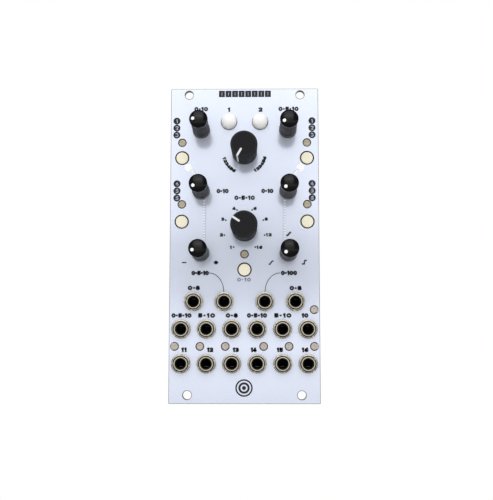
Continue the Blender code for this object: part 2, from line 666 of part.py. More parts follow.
def jacks(material):
    """Sockets: a box with a bushing that passes through the panel, and a blind bore for the plug."""
    front = PANEL_FRONT - BUSHING_RISE
    body_front = SEAT_GAP
    body_back = BOARD_STANDOFF - SEAT_GAP
    body = bmesh.new()
    add_box(body, (-JACK_WIDTH / 2, body_front, -JACK_SHORT_SIDE), (JACK_WIDTH / 2, body_back, JACK_LONG_SIDE))
    pattern = place("jack_upper_1", mesh_from(body, "jack"), material)
    bushing = bmesh.new()
    add_turned(bushing, (
        (0, front), (BUSHING_RADIUS - BUSHING_EDGE, front), (BUSHING_RADIUS, front + BUSHING_EDGE),
        (BUSHING_RADIUS, body_front + OVERRUN), (0, body_front + OVERRUN),
    ), JACK_SIDES)
    combine(pattern, bushing, "UNION")
    bore = bmesh.new()
    mouth_end = front + BORE_MOUTH_DEPTH
    bore_end = body_back - BORE_END_WALL
    add_turned(bore, (
        (0, front - OVERRUN), (BORE_MOUTH_RADIUS, front - OVERRUN), (BORE_MOUTH_RADIUS, mouth_end),
        (BORE_RADIUS, mouth_end), (BORE_RADIUS, bore_end), (0, bore_end),
    ), BORE_SIDES)
    combine(pattern, bore, "DIFFERENCE")
    shade(pattern.data)
    for name, x, z, turned in jack_places():
        angle = math.pi if turned else 0.0
        if pattern.name == "jack_" + name:
            pattern.location = (x, 0, z)
        else:
            place("jack_" + name, pattern.data, material, (x, 0, z), angle)


def jack_nuts(material):
    """Round slotted nuts that clamp the panel to the sockets."""
    front = NUT_BACK - NUT_THICKNESS
    inner = BUSHING_RADIUS + THREAD_GAP
    ring = bmesh.new()
    add_turned(ring, (
        (inner, front), (NUT_RADIUS - NUT_EDGE, front), (NUT_RADIUS, front + NUT_EDGE),
        (NUT_RADIUS, NUT_BACK), (inner, NUT_BACK),
    ), JACK_SIDES)
    pattern = place("jack_nut_upper_1", mesh_from(ring, "jack_nut"), material)
    half = NUT_NOTCH_WIDTH / 2
    for number in range(NUT_NOTCHES // 2):
        slot = bmesh.new()
        reach = NUT_RADIUS + OVERRUN
        along = (reach, half) if number % 2 else (half, reach)
        low = (-along[0], front - OVERRUN, -along[1])
        add_box(slot, low, (along[0], front + NUT_NOTCH_DEPTH, along[1]))
        combine(pattern, slot, "DIFFERENCE")
    shade(pattern.data)
    for (name, x, z, _), turn in zip(jack_places(), NUT_TURNS):
        if pattern.name == "jack_nut_" + name:
            pattern.location = (x, 0, z)
            pattern.rotation_euler = (0, math.radians(turn), 0)
        else:
            place("jack_nut_" + name, pattern.data, material, (x, 0, z), math.radians(turn))


def build():
    empty_scene()
    front_panel(finish("panel_aluminium", (0.75, 0.76, 0.85), 0.35, 0.6))
    control_board(finish("board", (0.02, 0.06, 0.04), 0.45))
    power_header(finish("header", (0.02, 0.02, 0.02), 0.5))
    potentiometers(finish("potentiometer", (0.1, 0.12, 0.14), 0.5))
    large_knobs(finish("knob_matte", (0.03, 0.03, 0.032), 0.6))
    large_shafts(finish("shaft", (0.6, 0.6, 0.58), 0.3, 1.0))
    slim_knobs(finish("knob_gloss", (0.015, 0.015, 0.016), 0.25))
    flush_buttons(finish("button_cream", (0.85, 0.82, 0.68), 0.45))
    domed_buttons(finish("button_white", (0.9, 0.88, 0.86), 0.3))
    jacks(finish("jack", (0.45, 0.42, 0.36), 0.35, 0.8))
    jack_nuts(finish("jack_nut", (0.6, 0.56, 0.46), 0.3, 1.0))


build()
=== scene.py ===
import json
import math
import random

import bmesh
import bpy
from mathutils import Matrix, Vector


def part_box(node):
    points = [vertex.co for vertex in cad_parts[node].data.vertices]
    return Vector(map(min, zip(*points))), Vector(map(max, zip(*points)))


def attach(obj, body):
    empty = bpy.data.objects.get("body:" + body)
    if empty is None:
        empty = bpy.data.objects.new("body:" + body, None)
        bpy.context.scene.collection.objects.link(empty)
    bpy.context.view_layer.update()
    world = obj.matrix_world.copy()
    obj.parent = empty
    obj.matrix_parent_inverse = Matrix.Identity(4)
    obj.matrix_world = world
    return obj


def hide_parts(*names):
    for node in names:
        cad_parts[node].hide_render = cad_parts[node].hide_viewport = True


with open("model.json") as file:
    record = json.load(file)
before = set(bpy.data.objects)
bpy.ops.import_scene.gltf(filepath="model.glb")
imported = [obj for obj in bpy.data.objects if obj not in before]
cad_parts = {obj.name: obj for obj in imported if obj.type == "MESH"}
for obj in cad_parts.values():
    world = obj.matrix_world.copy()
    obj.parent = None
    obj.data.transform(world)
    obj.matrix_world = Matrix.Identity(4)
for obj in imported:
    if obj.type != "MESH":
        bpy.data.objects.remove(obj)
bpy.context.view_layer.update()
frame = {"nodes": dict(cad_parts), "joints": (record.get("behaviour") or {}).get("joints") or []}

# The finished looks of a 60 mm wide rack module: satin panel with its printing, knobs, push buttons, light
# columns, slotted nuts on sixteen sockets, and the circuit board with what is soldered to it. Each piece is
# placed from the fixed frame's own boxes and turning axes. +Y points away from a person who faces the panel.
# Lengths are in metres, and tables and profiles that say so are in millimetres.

MM = 0.001
SCENE = bpy.context.scene
NODES = frame["nodes"]


def middle(node):
    """The centre of a node's box."""
    low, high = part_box(node)
    return (low + high) / 2


def family(prefix, but=None):
    """The frame's nodes whose names start with one prefix and not with another."""
    return sorted(name for name in NODES if name.startswith(prefix) and not (but and name.startswith(but)))


PANEL_LOW, PANEL_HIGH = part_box("front_panel")
PANEL_FRONT = PANEL_LOW.y
BOARD_LOW, BOARD_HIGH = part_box("control_board")
HEADER_LOW, HEADER_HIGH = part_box("power_header")
NUTS = family("jack_nut_")
JACKS = family("jack_", but="jack_nut_")
FLUSH_BUTTONS = family("button_flush_")
DOMED_BUTTONS = family("button_domed_")

# Values that several kinds of piece share
SEAT_GAP = 0.3 * MM
WELD = 0.0001 * MM
SMOOTH_BELOW = math.radians(35)
SIDES = 64
SMALL_SIDES = 20
BOARD_FRONT = 10.0 * MM
BOARD_BACK = 11.6 * MM
SHAFT_RADIUS = 3.0 * MM
TURN_LIMIT = 150


# Node trees

class Tree:
    """A node tree to which each node is added with its settings and sockets at once."""

    def __init__(self, tree):
        self.tree = tree

    def feed(self, node, **sockets):
        """Sets or links sockets, named with _ for a space, or by _ and a number where names don't tell."""
        for label, value in sockets.items():
            socket = node.inputs[int(label[1:])] if label[0] == "_" else node.inputs[label.replace("_", " ")]
            if isinstance(value, bpy.types.NodeSocket):
                self.tree.links.new(value, socket)
            else:
                socket.default_value = value

    def node(self, kind, settings=(), **sockets):
        """Adds a node and gives its outputs; a socket's value is a number or another node's output."""
        made = self.tree.nodes.new(kind)
        for setting, value in dict(settings).items():
            setattr(made, setting, value)
        self.feed(made, **sockets)
        return made.outputs


class Rule(Tree):
    """A Geometry Nodes tree with named inputs for its sizes, run once for each mesh that it makes."""

    def __init__(self, name, **inputs):
        super().__init__(bpy.data.node_groups.new(name, "GeometryNodeTree"))
        face = self.tree.interface
        face.new_socket("Geometry", in_out="INPUT", socket_type="NodeSocketGeometry")
        for label, kind in inputs.items():
            face.new_socket(label.replace("_", " "), in_out="INPUT", socket_type="NodeSocket" + kind)
        face.new_socket("Finish", in_out="INPUT", socket_type="NodeSocketMaterial")
        face.new_socket("Geometry", in_out="OUTPUT", socket_type="NodeSocketGeometry")
        self.inlet = self.tree.nodes.new("NodeGroupInput").outputs
        self.outlet = self.tree.nodes.new("NodeGroupOutput").inputs

    def turns(self, step, start=0.0):
        """A turn about Y that grows by one step from each copy to the next."""
        number = self.node("GeometryNodeInputIndex")
        turn = self.node("ShaderNodeMath", {"operation": "MULTIPLY_ADD"}, _0=number[0], _1=step, _2=start)
        return self.node("ShaderNodeCombineXYZ", Y=turn[0])[0]

    def copies(self, points, **more):
        """Ends the tree with the shape that is handed in, on each of the points."""
        shape = self.node("GeometryNodeObjectInfo", Object=self.inlet["Shape"])
        placed = self.node("GeometryNodeInstanceOnPoints", Points=points, Instance=shape["Geometry"], **more)
        self.close(placed[0])

    def close(self, geometry):
        """Ends the tree: instances become real and take the finish."""
        real = self.node("GeometryNodeRealizeInstances", Geometry=geometry)
        done = self.node("GeometryNodeSetMaterial", Geometry=real[0], Material=self.inlet["Finish"])
        self.tree.links.new(done[0], self.outlet["Geometry"])

    def grow(self, name, base=None, **values):
        """Runs the tree on a holder and gives its result as a plain mesh."""
        holder = bpy.data.objects.new(name, base or bpy.data.meshes.new(name))
        SCENE.collection.objects.link(holder)
        change = holder.modifiers.new("Rule", "NODES")
        change.node_group = self.tree
        for item in self.tree.interface.items_tree:
            label = item.name.replace(" ", "_")
            if item.item_type == "SOCKET" and item.in_out == "INPUT" and label in values:
                change[item.identifier] = values[label]
        shown = holder.evaluated_get(bpy.context.evaluated_depsgraph_get())
        mesh = bpy.data.meshes.new_from_object(shown)
        holder.modifiers.remove(change)
        bpy.data.objects.remove(holder)
        mesh.materials.clear()
        mesh.materials.append(values["Finish"])
        return mesh


# Finishes

# The two ends of a noise texture's usual values, on its scale from 0 to 1
NOISE_LOW = 0.3
NOISE_HIGH = 0.7


def finish(name, colour, roughness, metallic=0.0, mottle=0.05, patch=3.0, grain=0.0, speck=0.2, play=0.12,
           specular=0.5, coat=0.0, stretch=(1, 1, 1)):
    """A finish with slow patches of tone and gloss and a fine grain as bump; patch, grain and speck in mm."""
    made = bpy.data.materials.new(name)
    made.use_nodes = True
    tree = Tree(made.node_tree)
    shader = made.node_tree.nodes["Principled BSDF"]
    where = tree.node("ShaderNodeTexCoord")
    run = tree.node("ShaderNodeMapping", Vector=where["Object"], Scale=stretch)
    patches = tree.node("ShaderNodeTexNoise", Vector=run[0], Scale=1 / (patch * MM), Detail=4)
    tone = tree.node("ShaderNodeValToRGB", Fac=patches["Fac"])
    low, high = tone[0].node.color_ramp.elements
    low.position, high.position = NOISE_LOW, NOISE_HIGH
    low.color = (*(part * (1 - mottle) for part in colour), 1)
    high.color = (*(min(1, part * (1 + mottle)) for part in colour), 1)
    gloss = tree.node("ShaderNodeMapRange", Value=patches["Fac"], From_Min=NOISE_LOW, From_Max=NOISE_HIGH,
                      To_Min=roughness * (1 - play), To_Max=roughness * (1 + play))
    tree.feed(shader, Base_Color=tone["Color"], Roughness=gloss["Result"], Metallic=metallic,
              Specular_IOR_Level=specular, Coat_Weight=coat)
    if grain:
        specks = tree.node("ShaderNodeTexNoise", Vector=run[0], Scale=1 / (speck * MM), Detail=3)
        bump = tree.node("ShaderNodeBump", Strength=1, Distance=grain * MM, Height=specks["Fac"])
        tree.feed(shader, Normal=bump["Normal"])
    return made


SATIN_PANEL = finish("satin_panel", (0.745, 0.795, 0.93), 0.15, 0.45, mottle=0.012, patch=9, grain=0.0008,
                     speck=0.3, play=0.05)
# Bare cut aluminium of the panel's chamfers and hole walls, darkened to a brownish grey as painted shade for
# the dark line along the panel's edges
SHADED_CUT_EDGE = finish("cut_edge", (0.26, 0.24, 0.225), 0.45, 0.7, mottle=0.1, patch=1.5, grain=0.01, speck=0.3,
                  stretch=(1, 8, 1))
INK_BLACK = finish("ink_black", (0.014, 0.014, 0.02), 0.6, mottle=0.15, patch=0.8)
INK_WHITE = finish("ink_white", (1.0, 1.0, 1.0), 0.45, mottle=0.02, patch=0.8)
INK_GREY = finish("ink_grey", (0.15, 0.16, 0.2), 0.5, mottle=0.08, patch=0.8)
INK_FAINT = finish("ink_faint", (0.72, 0.76, 0.82), 0.5, mottle=0.04, patch=0.8)
INK_PALE = finish("ink_pale", (0.42, 0.46, 0.54), 0.5, mottle=0.05, patch=0.8)
KNOB_FACE = finish("knob_face", (0.013, 0.013, 0.015), 0.7, mottle=0.12, patch=1.2, grain=0.012, speck=0.12,
                   specular=0.16)
KNOB_RIM = finish("knob_rim", (0.011, 0.011, 0.012), 0.4, mottle=0.1, patch=1.0, specular=0.3)
KNOB_SIDE = finish("knob_side", (0.012, 0.012, 0.0135), 0.55, mottle=0.12, patch=1.5, grain=0.008,
                   speck=0.15, specular=0.06)
POINTER_PAINT = finish("pointer_paint", (0.66, 0.67, 0.68), 0.45, mottle=0.04, patch=1.0)
GLOSS_DOME = finish("gloss_dome", (0.003, 0.003, 0.0035), 0.2, mottle=0.2, patch=2.0, grain=0.001,
                    speck=0.4, specular=0.33)
SATIN_SIDE = finish("satin_side", (0.006, 0.006, 0.007), 0.42, mottle=0.12, patch=1.2, grain=0.004,
                    speck=0.15, specular=0.05)
FOOT_BLACK = finish("foot_black", (0.004, 0.004, 0.0045), 0.4, mottle=0.1, patch=1.0, specular=0.05)
# A brownish band at the foot of the slim knobs: a painted glint, standing for a light reflection line above
# the black foot
RIM_GLINT = finish("rim_line", (0.34, 0.32, 0.29), 0.35, mottle=0.1, patch=1.0)
DOT_WHITE = finish("dot_white", (0.9, 0.9, 0.9), 0.4, mottle=0.02, patch=0.5)
CREAM_CAP = finish("cream_cap", (0.86, 0.81, 0.635), 0.42, mottle=0.03, patch=1.2, grain=0.004, speck=0.2)
WHITE_CAP = finish("white_cap", (0.98, 0.965, 0.955), 0.3, mottle=0.015, patch=1.5, grain=0.002, speck=0.2)
LENS_WARM = finish("lens_warm", (0.42, 0.37, 0.27), 0.28, mottle=0.16, patch=0.9, coat=0.3)
LENS_PINK = finish("lens_pink", (0.47, 0.41, 0.365), 0.28, mottle=0.16, patch=0.9, coat=0.3)
NICKEL = finish("nickel", (0.7, 0.65, 0.55), 0.24, 1.0, mottle=0.12, patch=0.9, grain=0.004, speck=0.12,
                play=0.3)
NUT_NICKEL = finish("nut_nickel", (0.86, 0.8, 0.66), 0.45, 1.0, mottle=0.16, patch=0.8, grain=0.005,
                    speck=0.12, play=0.3)
# Dark metal of the bushing's thread: painted shade for the dark gap between nut and bushing
THREAD_SHADE = finish("thread", (0.13, 0.115, 0.09), 0.4, 1.0, mottle=0.15, patch=0.8)
SOCKET_BLACK = finish("socket_black", (0.009, 0.009, 0.0095), 0.6, mottle=0.15, patch=1.0, specular=0.1)
MOULDED_BLACK = finish("moulded_black", (0.022, 0.022, 0.024), 0.5, mottle=0.12, patch=1.5, grain=0.006,
                       speck=0.15)
# Nickel darkened to near black: painted shade for metal deep in the bores of sockets and sensors
CONTACT_SHADED = finish("contact", (0.14, 0.13, 0.11), 0.5, 1.0, mottle=0.1, patch=1.0)
STEEL = finish("steel", (0.58, 0.58, 0.57), 0.32, 1.0, mottle=0.08, patch=2.0, grain=0.003, speck=0.1,
               stretch=(6, 1, 1))
TIN = finish("tin", (0.68, 0.68, 0.67), 0.28, 1.0, mottle=0.08, patch=0.6, grain=0.006, speck=0.2)
GOLD = finish("gold", (0.83, 0.63, 0.28), 0.25, 1.0, mottle=0.06, patch=1.0)
GREEN_MASK = finish("green_mask", (0.012, 0.085, 0.04), 0.34, mottle=0.08, patch=6, grain=0.003, speck=0.3,
                    coat=0.2)
TRACE_GREEN = finish("trace_green", (0.03, 0.17, 0.075), 0.32, mottle=0.06, patch=3, coat=0.2)
BOARD_EDGE = finish("board_edge", (0.42, 0.40, 0.24), 0.7, mottle=0.15, patch=0.8, grain=0.02, speck=0.15)
MARK_WHITE = finish("mark_white", (0.78, 0.79, 0.77), 0.6, mottle=0.05, patch=1.0)
CHIP_BLACK = finish("chip_black", (0.022, 0.022, 0.024), 0.55, mottle=0.1, patch=1.0, grain=0.01, speck=0.1)
CERAMIC = finish("ceramic", (0.36, 0.26, 0.16), 0.5, mottle=0.1, patch=0.6)
RESISTOR = finish("resistor", (0.025, 0.025, 0.03), 0.35, mottle=0.1, patch=0.6)
SHAFT_METAL = finish("shaft_metal", (0.6, 0.6, 0.57), 0.3, 1.0, mottle=0.07, patch=1.2, grain=0.004,
                     speck=0.1, stretch=(1, 6, 1))


# Meshes

def mesh_from(bm, name, looks):
    """Ends a bmesh as a mesh with its finishes."""
    mesh = bpy.data.meshes.new(name)
    bm.to_mesh(mesh)
    bm.free()
    for look in looks:
        mesh.materials.append(look)
    return mesh


def mm_point(*place):
    """A point given in mm."""
    return Vector([value * MM for value in place])


def around(sides):
    """Even turns once round the Y axis."""
    return [2 * math.pi * number / sides for number in range(sides)]


def joined(bm, near, far, closed=True, look=0):
    """Faces between two rows of corners, which go all the way round where they are closed."""
    for number in range(len(near) if closed else len(near) - 1):
        after = (number + 1) % len(near)
        bm.faces.new((near[number], near[after], far[after], far[number])).material_index = look


def profile(y, *points, radius=0.0):
    """Points of a turned profile from steps in mm, counted from a radius and a depth."""
    return [(radius + across * MM, y + along * MM) for across, along in points]


def rounding(radius, y, across, along, steps):
    """Points of a quarter ellipse about (radius, y), from its front to its side."""
    turns = [math.pi / 2 * step / steps for step in range(steps + 1)]
    return [(radius + across * math.sin(turn), y - along * math.cos(turn)) for turn in turns]


def softened(points, radius, steps=3):
    """The same profile with its inner corners rounded."""
    points = [Vector(point) for point in points]
    found = [points[0]]
    for before, corner, after in zip(points, points[1:], points[2:]):
        reach = min(radius, (corner - before).length / 2, (after - corner).length / 2)
        start = corner + (before - corner).normalized() * reach
        end = corner + (after - corner).normalized() * reach
        for number in range(steps + 1):
            share = number / steps
            found.append(start * (1 - share) ** 2 + corner * 2 * share * (1 - share) + end * share ** 2)
    found.append(points[-1])
    return [tuple(point) for point in found]


def turned(name, strips, sides=SIDES):
    """A solid turned about the Y axis from strips of (radius, y) points, each strip with its own finish."""
    bm = bmesh.new()
    looks = []
    for points, look in strips:
        if look not in looks:
            looks.append(look)
        rings = []
        for radius, y in points:
            if radius < WELD:
                rings.append([bm.verts.new((0, y, 0))])
                continue
            rings.append([bm.verts.new((radius * math.sin(turn), y, radius * math.cos(turn)))
                          for turn in around(sides)])
        for near, far in zip(rings, rings[1:]):
            for number in range(sides):
                after = (number + 1) % sides
                corners = [near[number % len(near)], near[after % len(near)], far[after % len(far)],
                           far[number % len(far)]]
                kept = [corner for place, corner in enumerate(corners) if corner not in corners[:place]]
                if len(kept) > 2:
                    bm.faces.new(kept).material_index = looks.index(look)
    bmesh.ops.remove_doubles(bm, verts=bm.verts, dist=WELD)
    bmesh.ops.recalc_face_normals(bm, faces=bm.faces)
    return mesh_from(bm, name, looks)


def spun(name, points, look, sides=SIDES):
    """A solid turned about the Y axis, of one finish."""
    return turned(name, ((points, look),), sides)


def block(name, low, high, edge, look, steps=2):
    """A box with rounded edges."""
    bm = bmesh.new()
    low, high = Vector(low), Vector(high)
    bmesh.ops.create_cube(bm, size=1.0, matrix=Matrix.LocRotScale((low + high) / 2, None, high - low))
    bmesh.ops.bevel(bm, geom=bm.edges[:] + bm.verts[:], offset=edge, segments=steps, profile=0.6,
                    affect="EDGES", clamp_overlap=True)
    return mesh_from(bm, name, [look])


def band(name, path, width, depth, look, closed=False):
    """A flat band of even width along (x, z) points, from y = 0 at the front to its depth at the back."""
    points = [Vector(point) for point in path]
    last = len(points) - 1
    bm = bmesh.new()
    rows = []
    for number, point in enumerate(points):
        if closed:
            before, after = points[number - 1], points[(number + 1) % len(points)]
        else:
            before, after = points[max(number - 1, 0)], points[min(number + 1, last)]
        into = (point - before).normalized() if (point - before).length else (after - point).normalized()
        out = (after - point).normalized() if (after - point).length else into
        along = (into + out).normalized()
        across = Vector((-along.y, along.x)) * (width / 2 / max(along.dot(out), 0.5))
        left, right = point + across, point - across
        rows.append([bm.verts.new((flat.x, y, flat.y)) for flat, y in
                     ((left, 0), (right, 0), (right, depth), (left, depth))])
    pairs = list(zip(rows, rows[1:]))
    if closed:
        pairs.append((rows[-1], rows[0]))
    for near, far in pairs:
        joined(bm, near, far)
    if not closed:
        bm.faces.new(rows[0])
        bm.faces.new(rows[-1])
    bmesh.ops.recalc_face_normals(bm, faces=bm.faces)
    return mesh_from(bm, name, [look])


def plate(name, low, high, corner, chamfer, holes, hole_chamfer, face, edge, sides=SIDES):
    """A flat sheet across Y with round holes of (x, z, radius), and the finish of an edge on its walls."""
    bm = bmesh.new()
    fronts, backs = [], []
    corner_steps = 4

    def wall(shape, small):
        """Builds the wall of an outline, from a function that gives its points at an offset."""
        rings = []
        for grown, y in ((small, low.y), (0, low.y + small), (0, high.y - small), (small, high.y)):
            rings.append([bm.verts.new((x, y, z)) for x, z in shape(grown)])
        for near, far in zip(rings, rings[1:]):
            joined(bm, near, far, look=1)
        for ring, kept in ((rings[0], fronts), (rings[-1], backs)):
            for number in range(len(ring)):
                kept.append(bm.edges.get((ring[number], ring[(number + 1) % len(ring)])))

    def outside(grown):
        """The sheet's own outline, with rounded corners."""
        found = []
        for side_x, side_z, start in ((1, 1, 0), (-1, 1, 1), (-1, -1, 2), (1, -1, 3)):
            edge_x = high.x if side_x > 0 else low.x
            edge_z = high.z if side_z > 0 else low.z
            for step in range(corner_steps + 1):
                turn = math.pi / 2 * (start + step / corner_steps)
                found.append((edge_x - side_x * corner + (corner - grown) * math.cos(turn),
                              edge_z - side_z * corner + (corner - grown) * math.sin(turn)))
        return found

    wall(outside, chamfer)
    for x, z, radius in holes:
        wall(lambda grown: [(x + (radius + grown) * math.cos(turn), z + (radius + grown) * math.sin(turn))
                            for turn in around(sides)], hole_chamfer)
    for edges, normal in ((fronts, (0, -1, 0)), (backs, (0, 1, 0))):
        bmesh.ops.triangle_fill(bm, use_beauty=True, use_dissolve=False, edges=edges, normal=normal)
    bmesh.ops.recalc_face_normals(bm, faces=bm.faces)
    return mesh_from(bm, name, [face, edge])


def at(mesh, x=0.0, z=0.0, turn=0.0, y=0.0, shift=None):
    """A copy of a mesh moved to its place, first turned clockwise as seen from the front."""
    made = mesh.copy()
    made.transform(shift or Matrix.Translation((x, y, z)) @ Matrix.Rotation(turn, 4, "Y"))
    return made


def merged(name, parts):
    """One mesh from several, each with its own finishes."""
    bm = bmesh.new()
    looks = []
    for part in parts:
        start = len(bm.faces)
        bm.from_mesh(part)
        bm.faces.ensure_lookup_table()
        order = []
        for look in part.materials:
            if look not in looks:
                looks.append(look)
            order.append(looks.index(look))
        for face in bm.faces[start:]:
            face.material_index = order[face.material_index]
    return mesh_from(bm, name, looks)


def piece(name, mesh, body, slot, *nodes):
    """Puts a finished mesh in the scene, riding a body of the frame in place of some of its nodes."""
    mesh.name = name
    mesh.shade_smooth()
    mesh.set_sharp_from_angle(angle=SMOOTH_BELOW)
    made = bpy.data.objects.new(name, mesh)
    SCENE.collection.objects.link(made)
    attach(made, body)
    if nodes:
        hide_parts(*nodes)


# Shapes that repeat by a rule

def row_rule():
    """Copies of a shape in a straight row."""
    rule = Rule("row", Shape="Object", Count="Int", Step="Vector")
    line = rule.node("GeometryNodeMeshLine", Count=rule.inlet["Count"], Offset=rule.inlet["Step"])
    rule.copies(line[0])
    return rule


def ring_rule():
    """Copies of a shape turned about the Y axis by even steps."""
    rule = Rule("ring", Shape="Object", Count="Int", Start="Float", Step="Float")
    points = rule.node("GeometryNodePoints", Count=rule.inlet["Count"])
    rule.copies(points[0], Rotation=rule.turns(rule.inlet["Step"], rule.inlet["Start"]))
    return rule


def spot_rule():
    """A copy of a shape on each point of the base mesh."""
    rule = Rule("spots", Shape="Object")
    points = rule.node("GeometryNodeMeshToPoints", Mesh=rule.inlet["Geometry"])
    rule.copies(points[0])
    return rule


def slotted_rule():
    """Notches of even width cut across the front of a turned ring."""
    rule = Rule("slotted_ring", Front="Float", Reach="Float", Notch_Width="Float", Notch_Depth="Float",
                Notch_Count="Int", Notch_Step="Float")
    inlet = rule.inlet
    size = rule.node("ShaderNodeCombineXYZ", X=inlet["Notch Width"], Y=inlet["Notch Depth"], Z=inlet["Reach"])
    cutter = rule.node("GeometryNodeMeshCube", Size=size[0])
    shift = rule.node("ShaderNodeCombineXYZ", Y=inlet["Front"], Z=inlet["Reach"])
    placed = rule.node("GeometryNodeTransform", Geometry=cutter[0], Translation=shift[0])
    points = rule.node("GeometryNodePoints", Count=inlet["Notch Count"])
    cutters = rule.node("GeometryNodeInstanceOnPoints", Points=points[0], Instance=placed[0],
                        Rotation=rule.turns(inlet["Notch Step"]))
    real = rule.node("GeometryNodeRealizeInstances", Geometry=cutters[0])
    cut = rule.node("GeometryNodeMeshBoolean", {"operation": "DIFFERENCE", "solver": "EXACT"},
                    Mesh_1=inlet["Geometry"], Mesh_2=real[0])
    rule.close(cut[0])
    return rule


ROW = row_rule()
RING = ring_rule()
SPOTS = spot_rule()
SLOTTED = slotted_rule()


def repeated(rule, shape, look, base=None, **values):
    """Runs a rule on a shape, which is carried into the rule by an object of its own."""
    carrier = bpy.data.objects.new("pattern_" + shape.name, shape)
    SCENE.collection.objects.link(carrier)
    made = rule.grow(shape.name + "_repeated", base, Shape=carrier, Finish=look, **values)
    bpy.data.objects.remove(carrier)
    return made


def row(shape, count, step, look):
    """Copies of the shape in a straight row."""
    return repeated(ROW, shape, look, Count=count, Step=step)


def ring(shape, count, start, step, look):
    """Copies of the shape turned about the Y axis."""
    return repeated(RING, shape, look, Count=count, Start=start, Step=step)


def spots(shape, places, look):
    """The shape at each of (x, y, z)."""
    base = bpy.data.meshes.new("places")
    base.from_pydata(places, [], [])
    return repeated(SPOTS, shape, look, base)


# Places of lights and knobs, from the frame

LIGHT_SIDE_SHIFT = 2.6 * MM
LIGHT_CORNER_RISE = 7.8 * MM
LIGHT_RISES = {"upper_left": 6.4, "upper_right": 6.4, "lower_left": 7.12, "lower_right": 7.12, "centre": 6.26}
SOCKET_LIGHTS = 7


def light_places():
    """Centres of the indicator lights: those by the sockets first, then one over each flush button."""
    columns = sorted({round(middle(nut).x, 5) for nut in NUTS if "lower" in nut})
    middle_z = middle("jack_nut_middle_1").z
    row_z = (middle_z + middle("jack_nut_lower_1").z) / 2
    found = [(x + math.copysign(LIGHT_SIDE_SHIFT, x), row_z) for x in columns]
    found.append((columns[-1] + LIGHT_SIDE_SHIFT, middle_z + LIGHT_CORNER_RISE))
    for place_name, rise in LIGHT_RISES.items():
        place = middle("button_flush_" + place_name)
        found.append((place.x, place.z + rise * MM))
    return found


def knob_places(*kinds):
    """Body, x, z and the pointer's angle at rest, clockwise from twelve o'clock, of each knob of a kind."""
    found = []
    for kind in kinds:
        for joint in frame["joints"]:
            if joint["name"].startswith("turn_" + kind):
                x, _, z = joint["pos_m"]
                found.append((joint["child"], x, z, math.radians(-TURN_LIMIT - joint["range_deg"][0])))
    return found


# Panel

PANEL_CHAMFER = 0.18 * MM
PANEL_CORNER = 0.3 * MM
HOLE_CHAMFER = 0.08 * MM
RACK_HOLE_X = 22.86 * MM
RACK_HOLE_Z = 61.25 * MM
RACK_HOLE_RADIUS = 1.7 * MM
HOLE_SHADE_RIM = 0.24 * MM
BUSHING_HOLE_RADIUS = 3.15 * MM
LIGHT_HOLE_RADIUS = 1.7 * MM
FLUSH_HOLE_RADIUS = 2.85 * MM
DOMED_HOLE_RADIUS = 3.3 * MM
SHAFT_HOLE_RADIUS = 3.35 * MM


def make_panel():
    """The sheet with all its holes, and a dark printed ring round each rack hole that stands for bare metal
    at its edge and painted shade.
    """
    racks = [(side_x * RACK_HOLE_X, side_z * RACK_HOLE_Z) for side_x in (-1, 1) for side_z in (-1, 1)]
    holes = [(x, z, RACK_HOLE_RADIUS) for x, z in racks]
    holes += [(place.x, place.z, BUSHING_HOLE_RADIUS) for place in map(middle, NUTS)]
    holes += [(x, z, LIGHT_HOLE_RADIUS) for x, z in light_places()]
    holes += [(place.x, place.z, FLUSH_HOLE_RADIUS) for place in map(middle, FLUSH_BUTTONS)]
    holes += [(place.x, place.z, DOMED_HOLE_RADIUS) for place in map(middle, DOMED_BUTTONS)]
    holes += [(x, z, SHAFT_HOLE_RADIUS) for _, x, z, _ in knob_places("large", "slim")]
    sheet = plate("panel", PANEL_LOW, PANEL_HIGH, PANEL_CORNER, PANEL_CHAMFER, holes, HOLE_CHAMFER,
                  SATIN_PANEL, SHADED_CUT_EDGE)
    piece("panel", sheet, "module", "panel_aluminium", "front_panel")
    # Rings of the darkened edge finish round the rack holes: bare edge colour and painted shade at the holes'
    # edges
    rims = [disc(RACK_HOLE_RADIUS + HOLE_SHADE_RIM, SHADED_CUT_EDGE, x, z, hole=RACK_HOLE_RADIUS) for x, z in racks]
    piece("bare_rims", merged("bare_rims", printed(rims)), "module", "panel_aluminium")


# Tools for printing: flat shapes of ink that stand a hair proud of the panel

INK = 0.025 * MM
LOOP_POINTS = 20
STROKE_SHARE = 0.35
SOCKET_STROKE_SHARE = 0.385
FIGURE_GAP = 0.12
LABEL_GAP = 0.07


def printed(parts):
    """Lays flat shapes of printing ink on the panel's face."""
    return [at(part, y=PANEL_FRONT - INK) for part in parts]


def disc(radius, look, x=0.0, z=0.0, sides=32, hole=0.0):
    """A printed disc, or a ring where a hole is given."""
    points = [(hole, 0), (radius, 0), (radius, 2 * INK), (hole, 2 * INK)]
    return at(spun("disc", points + points[:1] if hole else points, look, sides), x, z)


def line(points, width, look):
    """A printed line; its points and width are in mm."""
    return band("line", [(x * MM, z * MM) for x, z in points], width * MM, 2 * INK, look)


def bow(x, z, across, up, start, end, steps=12):
    """Points of an arc, angles in degrees clockwise from twelve o'clock."""
    turns = [math.radians(start + (end - start) * number / steps) for number in range(steps + 1)]
    return [(x + across * math.sin(turn), z + up * math.cos(turn)) for turn in turns]


def loop(x, z, across, up):
    """Points of a closed oval, without the first one again at its end."""
    return bow(x, z, across, up, 0, 360, LOOP_POINTS)[:-1]


